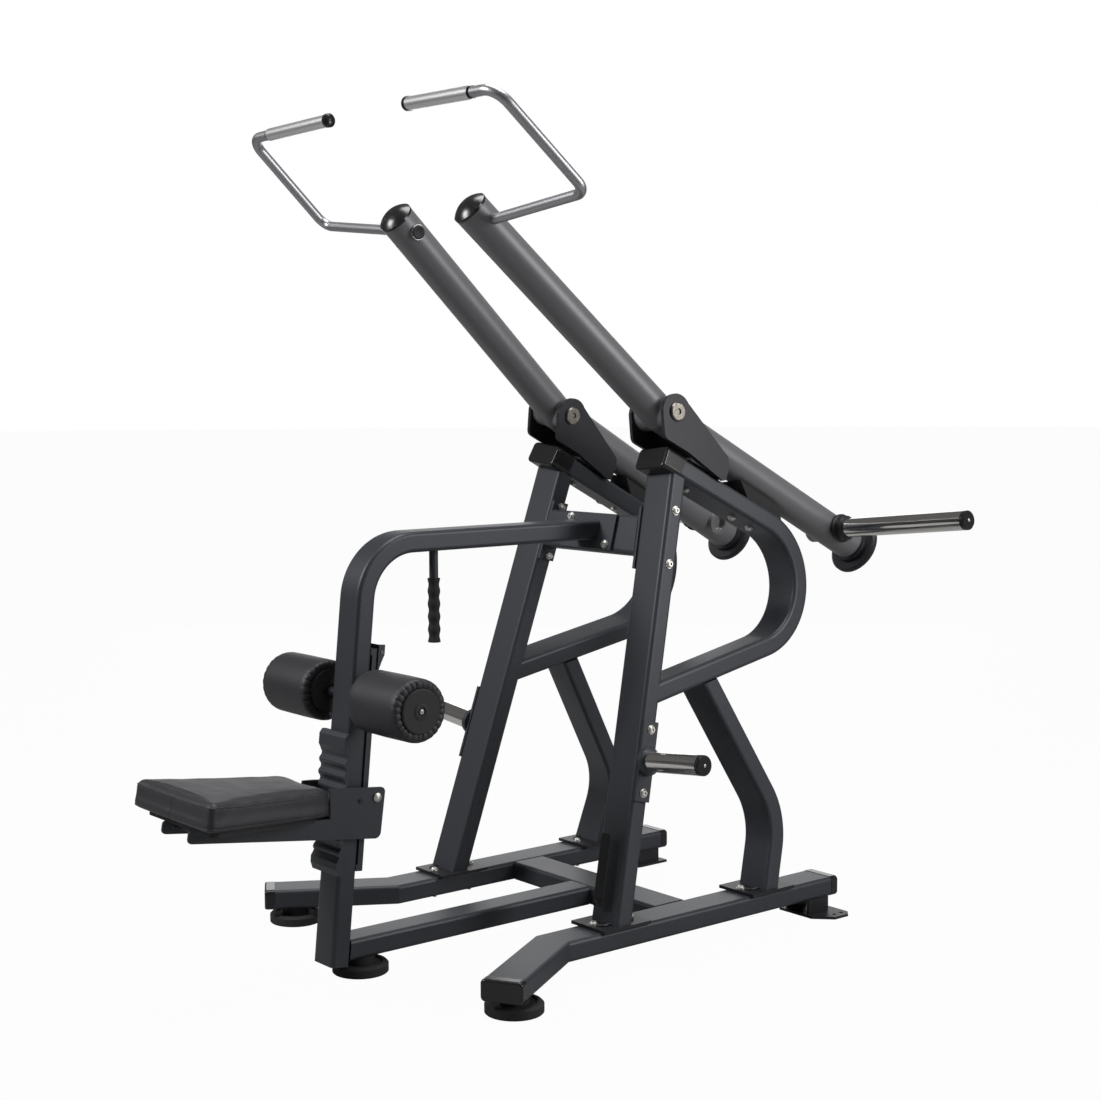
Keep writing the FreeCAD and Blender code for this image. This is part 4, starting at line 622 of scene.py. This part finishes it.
    def piping(self, cushion, sizes):
        """Welt cords laid on the cover round its top and its bottom edge, and a seam down its front."""
        bpy.context.view_layer.update()
        cords = bmesh.new()
        for z in (-WELT, -PAD_THICK + WELT):
            route = [self.on_cover(cushion, PAD @ Vector((*p, z))) for p in pad_outline(0.0, 0.005)]
            tube(cords, route, lambda s: sizes.piping * (1 + 0.05 * math.sin(s * 900)))
        steps = 12
        drop = (PAD_THICK - 2 * WELT) / steps
        seam = [self.on_cover(cushion, PAD @ Vector((0, -PAD_LONG, -WELT - drop * t)))
                for t in range(steps + 1)]
        tube(cords, seam, lambda s: sizes.piping * 0.55, closed=False)
        new_piece("seat_piping", cords, "black_vinyl", "seat_carriage")


# ---------------------------------------------------------------- thigh rollers
ROLLER_HIGH = 0.673
ROLLER = Matrix.Translation((0, SEAT_PLANE_Y - 0.779 + ROLLER_HIGH * math.tan(POST_LEAN), ROLLER_HIGH))
ROLLER_IN, ROLLER_OUT = 0.088, 0.291


class LATPULL_OT_thigh_rollers(bpy.types.Operator):
    """Wrap each thigh roller in vinyl gathered in pleats at its ends"""

    bl_idname = "latpull.thigh_rollers"
    bl_label = "Thigh Rollers"

    def execute(self, context):
        sizes = context.scene.latpull_pads
        for side, sign in SIDES:
            self.sleeve(side, sign, sizes)
            self.end_disc(side, sign)
        return {"FINISHED"}

    def sleeve(self, side, sign, sizes):
        """The vinyl sleeve: straight in the middle, pleated round both ends."""
        radius, start, end, gathered = sizes.roller_radius, ROLLER_IN + 0.003, ROLLER_OUT - 0.003, 0.016
        half = [(0.047, 0.0045), (0.0512, 0.0026), (0.0545, 0.0012), (0.0585, 0.0004), (0.0625, 0.0002),
                (0.0662, 0.0010), (0.0693, 0.0028), (0.0716, 0.0056), (0.0731, 0.0096), (radius, gathered)]
        steps = 16
        middle = [(radius + 0.0004 * math.sin(math.pi * t / steps),
                   start + gathered + (end - start - 2 * gathered) * t / steps) for t in range(1, steps)]
        profile = [(r, start + z) for r, z in half] + middle + [(r, end - z) for r, z in reversed(half)]
        weight = [1.0, 1.0, 1.0, 1.0, 0.95, 0.9, 0.75, 0.5, 0.22, 0.05]
        depth = weight + [0.0] * len(middle) + weight[::-1]

        def gather(angle, i):
            x, y = math.cos(angle), math.sin(angle)
            turn = angle * sizes.pleats / 2 + 0.9 * noise.noise(Vector((x, y, sign)) * 2.2)
            fold = abs(math.sin(turn)) ** 0.55 - 1
            size = 0.75 + 0.35 * noise.noise(Vector((x, y, i * 0.02 + sign)) * 5)
            pull = sizes.pleat_depth * depth[i] * fold * size
            end_face = 1 if i < len(profile) / 2 else -1
            ripple = 0.0005 * noise.noise(Vector((x * 2, y * 2, profile[i][1] * 14)))
            return pull * 0.45 + ripple, -end_face * pull * 0.9

        sleeve = bmesh.new()
        matrix = ROLLER @ facing((0, 0, 0), (sign, 0, 0))
        lathe(sleeve, profile, matrix, sizes.pleats * 14, gather)
        piece = new_piece("roller_vinyl_" + side, sleeve, "black_vinyl", "roller_" + side)
        piece.data.set_sharp_from_angle(angle=math.radians(80))
        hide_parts("roller_foam_" + side)

    def end_disc(self, side, sign):
        """Moulded hub with a raised rim, and its screw in a hexagon recess."""
        matrix = ROLLER @ facing((0, 0, 0), (sign, 0, 0))
        hub = bmesh.new()
        bottom = -0.0010
        profile = [(0.0190, -0.0005), (0.0190, 0.0012), (0.0178, 0.0018), (0.0118, 0.0018),
                   (0.0104, 0.0006), (0.0100, bottom), (0.0, bottom)]
        lathe(hub, [(radius, ROLLER_OUT + out) for radius, out in profile], matrix, 64)
        new_piece("roller_hub_" + side, hub, "matte_black_plastic", "roller_" + side)
        screw = bmesh.new()
        cap_screw(screw, matrix @ Matrix.Translation((0, 0, ROLLER_OUT + bottom)), 0.0058, 0.0038)
        new_piece("roller_screw_" + side, screw, "bolt_steel", "roller_" + side)


def cap_screw(mesh_bm, matrix, radius, tall):
    """A round-headed screw with a hexagon socket, standing on local Z = 0."""
    flat, steps = radius * 0.5, 24
    lathe(mesh_bm, [(radius, 0), (radius, tall * 0.55), (radius * 0.9, tall * 0.85), (radius * 0.72, tall),
                    (flat, tall)], matrix, steps)

    def circle(reach, count, z):
        return [mesh_bm.verts.new(matrix @ Vector((reach * math.cos(2 * math.pi * k / count),
                                                   reach * math.sin(2 * math.pi * k / count), z)))
                for k in range(count)]

    rim = circle(flat, steps, tall)
    mouth, bottom = circle(flat * 0.92, 6, tall), circle(flat * 0.92, 6, tall * 0.3)
    for k in range(6):
        following = (k + 1) % 6
        edge = [rim[(4 * k + n) % steps] for n in range(5)]
        mesh_bm.faces.new(edge + [mouth[following], mouth[k]])
        mesh_bm.faces.new((mouth[k], mouth[following], bottom[following], bottom[k]))
    mesh_bm.faces.new(bottom)
    bmesh.ops.remove_doubles(mesh_bm, verts=mesh_bm.verts, dist=1e-6)


# ---------------------------------------------------------------- welds
class LATPULL_OT_welds(bpy.types.Operator):
    """Run weld beads round the frame's joints"""

    bl_idname = "latpull.welds"
    bl_label = "Weld Beads"

    def execute(self, context):
        sizes = context.scene.latpull_welds
        beads = bmesh.new()
        for matrix, corners, radii in self.seams():
            for mirror in (Matrix.Identity(4), MIRROR):
                route = [mirror @ matrix @ Vector((*p, 0)) for p in rounded_outline(corners, radii, 0.0021)]
                self.bead(beads, route, sizes)
        new_piece("frame_welds", beads, "frame_paint", "frame")
        return {"FINISHED"}

    def bead(self, beads, route, sizes):
        """One closed bead whose ripples follow each other like scales."""
        tube(beads, route, lambda s: sizes.bead * (0.86 + 0.14 * math.cos(2 * math.pi * s / sizes.ripple)
                                                   + 0.10 * noise.noise(Vector((s * 60, 0, 0)))), sides=8)

    def seams(self):
        """Where tubes meet plates on the right side: matrix, corners and corner radii."""
        wide, corner = TUBE_WIDE + 0.0005, 0.009
        foot = SIDE @ Matrix.Translation((0, UPRIGHT_Y + 0.008 * math.tan(UPRIGHT_LEAN), PLATE_TOP))
        yield (foot, *box_outline(wide, TUBE_DEEP / math.cos(UPRIGHT_LEAN) + 0.001, corner))
        leg = SIDE @ Matrix.Translation((0, LEG_Y, PLATE_TOP))
        yield (leg, *box_outline(wide, TUBE_DEEP + 0.0015, corner))


# ---------------------------------------------------------------- small fittings
CAP_SCREW = 0.0042, 0.0016  # radius and height


class LATPULL_OT_fittings(bpy.types.Operator):
    """Add the cap screws, the handle plugs and the plain plate"""

    bl_idname = "latpull.fittings"
    bl_label = "Small Fittings"

    def execute(self, context):
        self.plain_plate()
        for side, sign in SIDES:
            self.handle_plug(side, sign)
            self.end_screw("horn_screw_" + side, "arm_caps_" + side, (sign, 0, 0), "arm_" + side)
            self.end_screw("peg_screw_" + side, "peg_caps", (sign, 0, 0), "frame")
        return {"FINISHED"}

    def end_seat(self, node, direction):
        """Placement on the middle of the piece's end face, Z pointing out of the face."""
        piece, direction = frame["nodes"][node], Vector(direction)
        turn = piece.matrix_world.to_3x3()
        facets = [(piece.matrix_world @ f.center, (turn @ f.normal).normalized(), f.area)
                  for f in piece.data.polygons]
        facets = [facet for facet in facets if facet[1].dot(direction) > 0.9]
        reach = max(centre.dot(direction) for centre, _, _ in facets)
        facets = [facet for facet in facets if reach - facet[0].dot(direction) < 0.012]
        middle = sum((centre * area for centre, _, area in facets), Vector())
        middle /= sum(area for _, _, area in facets)
        axis = sum((normal * area for _, normal, area in facets), Vector()).normalized()
        out = max((centre - middle).dot(axis) for centre, _, _ in facets)
        return facing(middle + axis * out, axis)

    def end_screw(self, name, node, direction, body):
        """A small bright screw in the middle of a moulded cap's end."""
        screw = bmesh.new()
        cap_screw(screw, self.end_seat(node, direction), *CAP_SCREW)
        new_piece(name, screw, "bolt_steel", body)

    def handle_plug(self, side, sign):
        """Black plug with a raised rim over the handle's end, on the arm's inner face."""
        plug = bmesh.new()
        profile = [(0.0176, -0.0008), (0.0176, 0.0010), (0.0162, 0.0018), (0.0112, 0.0018),
                   (0.0100, 0.0010), (0.0, 0.0013)]
        lathe(plug, profile, self.end_seat("handle_" + side, (-sign, 0, 0)))
        new_piece("handle_plug_" + side, plug, "matte_black_plastic", "arm_" + side)

    def plain_plate(self):
        """A plain, unmarked gloss plate low on the right upright's front."""
        plate = bmesh.new()
        run = Matrix.Translation((0, UPRIGHT_Y, 0)) @ Matrix.Rotation(-UPRIGHT_LEAN, 4, "X")
        front, up = -TUBE_DEEP / 2 - 0.0002, 0.128
        face = SIDE @ run @ Matrix.Translation((0, front, up))
        points = rounded_outline(*box_outline(0.034, 0.176, 0.003))
        layers = [(0.0, 1.0), (-0.0010, 1.0), (-0.0014, 0.985)]
        rings = [[plate.verts.new(face @ Vector((p.x * grow, out, p.y * grow))) for p in points]
                 for out, grow in layers]
        bridge(plate, rings)
        plate.faces.new(rings[-1])
        plate.faces.new(rings[0])
        new_piece("plain_plate", plate, "gloss_black_plastic", "frame")


# ---------------------------------------------------------------- studio
class LATPULL_OT_stage(bpy.types.Operator):
    """Lay the floor and set the lights and the camera"""

    bl_idname = "latpull.stage"
    bl_label = "Studio"

    def execute(self, context):
        self.floor(context)
        self.lights(context)
        self.camera(context)
        return {"FINISHED"}

    def floor(self, context):
        """A wide pale floor and an even pale surrounding."""
        tint = list(context.scene.latpull_colours.floor)
        floor, level = bmesh.new(), -0.0005
        lathe(floor, [(radius, level) for radius in (0.0, 3.0, 12.0, 60.0)], Matrix.Identity(4), 96)
        mesh = bpy.data.meshes.new("studio_floor")
        floor.to_mesh(mesh)
        floor.free()
        piece = bpy.data.objects.new("studio_floor", mesh)
        context.scene.collection.objects.link(piece)
        vinyl = Finish("studio_floor", tint, 0.0, 0.6, specular_ior_level=0.2)
        vinyl.mix_colour(vinyl.spread(vinyl.cloud(2, 3), 0, 0.2), [c * 0.97 for c in tint])
        self.backlit(vinyl)
        mesh.materials.append(vinyl.material)
        world = bpy.data.worlds.new("studio")
        world.use_nodes = True
        tree = world.node_tree
        sky = tree.nodes["Background"]
        sky.inputs["Color"].default_value = (1.0, 1.0, 1.0, 1.0)
        tree.links.new(self.if_seen(tree, 0.11, 1.0), sky.inputs["Strength"])
        context.scene.world = world
        context.scene.view_settings.view_transform = "Standard"

    def if_seen(self, tree, hidden, seen):
        """One value where the background itself is seen, another for the light that it gives."""
        node = tree.nodes.new("ShaderNodeMapRange")
        node.inputs["To Min"].default_value, node.inputs["To Max"].default_value = hidden, seen
        path = tree.nodes.new("ShaderNodeLightPath")
        tree.links.new(path.outputs["Is Camera Ray"], node.inputs["Value"])
        return node.outputs["Result"]

    def backlit(self, vinyl):
        """Show the floor as a white light table that throws little light on the machine."""
        tree = vinyl.tree
        glow, blend = tree.nodes.new("ShaderNodeEmission"), tree.nodes.new("ShaderNodeMixShader")
        glow.inputs["Strength"].default_value = 1.0
        tree.links.new(self.if_seen(tree, 0.0, 0.97), blend.inputs["Fac"])
        tree.links.new(vinyl.shader.outputs["BSDF"], blend.inputs[1])
        tree.links.new(glow.outputs["Emission"], blend.inputs[2])
        tree.links.new(blend.outputs["Shader"], tree.nodes["Material Output"].inputs["Surface"])

    def lights(self, context):
        """Soft panels: key at the front left, strip at the right, one overhead, a pale wall behind."""
        middle, arms = Vector((0.0, 0.5, 0.9)), Vector((0.2, 0.6, 1.5))
        panels = (("key", (-1.8, -3.6, 3.6), (1.5, 1.5), 170, middle),
                  ("strip", (3.3, 2.5, 2.1), (0.9, 2.2), 75, arms),
                  ("overhead", (0.2, 0.8, 4.6), (1.6, 2.8), 130, middle),
                  ("wall", (-4.6, 4.4, 1.5), (5.0, 2.8), 75, middle))
        for name, place, (wide, tall), power, aim in panels:
            lamp = bpy.data.lights.new(name, "AREA")
            lamp.shape = "RECTANGLE"
            lamp.size, lamp.size_y = wide, tall
            lamp.energy = power
            panel = bpy.data.objects.new(name, lamp)
            panel.matrix_world = facing(place, Vector(place) - aim)
            panel.visible_camera = False
            context.scene.collection.objects.link(panel)

    def camera(self, context):
        """Eye level, off the right front corner."""
        eye = (3.6385, -2.3911, 1.399)
        turn, pitch, roll = math.radians(51.2885), math.radians(-5.3013), math.radians(-0.2733)
        level = math.cos(pitch)
        ahead = Vector((-math.sin(turn) * level, math.cos(turn) * level, math.sin(pitch)))
        picture, reach, centre_x, centre_y = 1100, 1844.6, 528.66, 558.10
        lens = bpy.data.cameras.new("view")
        lens.sensor_width = 36.0
        lens.lens = lens.sensor_width * reach / picture
        lens.shift_x, lens.shift_y = (picture / 2 - centre_x) / picture, (centre_y - picture / 2) / picture
        lens.clip_end = 200
        camera = bpy.data.objects.new("view", lens)
        camera.matrix_world = facing(eye, -ahead) @ Matrix.Rotation(roll, 4, "Z")
        context.scene.collection.objects.link(camera)
        context.scene.camera = camera


class LATPULL_PT_panel(bpy.types.Panel):
    """Sidebar panel with the sizes, the colours and the build steps"""

    bl_label = "Lat Pulldown"
    bl_space_type = "VIEW_3D"
    bl_region_type = "UI"
    bl_category = "Lat Pulldown"

    def draw(self, context):
        scene = context.scene
        for group in (scene.latpull_colours, scene.latpull_pads, scene.latpull_welds):
            for prop in group.bl_rna.properties:
                if prop.identifier not in ("rna_type", "name"):
                    self.layout.prop(group, prop.identifier)
        for step in STEPS:
            self.layout.operator(step.bl_idname)


STEPS = (LATPULL_OT_finishes, LATPULL_OT_seat_cushion, LATPULL_OT_thigh_rollers, LATPULL_OT_welds,
         LATPULL_OT_fittings, LATPULL_OT_stage)
CLASSES = (FinishColours, PadSizes, WeldSizes, *STEPS, LATPULL_PT_panel)


def register():
    """Make the classes and the scene's settings known."""
    for cls in CLASSES:
        bpy.utils.register_class(cls)
    bpy.types.Scene.latpull_colours = PointerProperty(type=FinishColours)
    bpy.types.Scene.latpull_pads = PointerProperty(type=PadSizes)
    bpy.types.Scene.latpull_welds = PointerProperty(type=WeldSizes)


def unregister():
    """Take them away again."""
    del bpy.types.Scene.latpull_welds
    del bpy.types.Scene.latpull_pads
    del bpy.types.Scene.latpull_colours
    for cls in reversed(CLASSES):
        bpy.utils.unregister_class(cls)


def main():
    """Dress the machine and its studio."""
    register()
    bpy.ops.latpull.finishes()
    bpy.ops.latpull.seat_cushion()
    bpy.ops.latpull.thigh_rollers()
    bpy.ops.latpull.welds()
    bpy.ops.latpull.fittings()
    bpy.ops.latpull.stage()


if __name__ == "__main__":
    main()
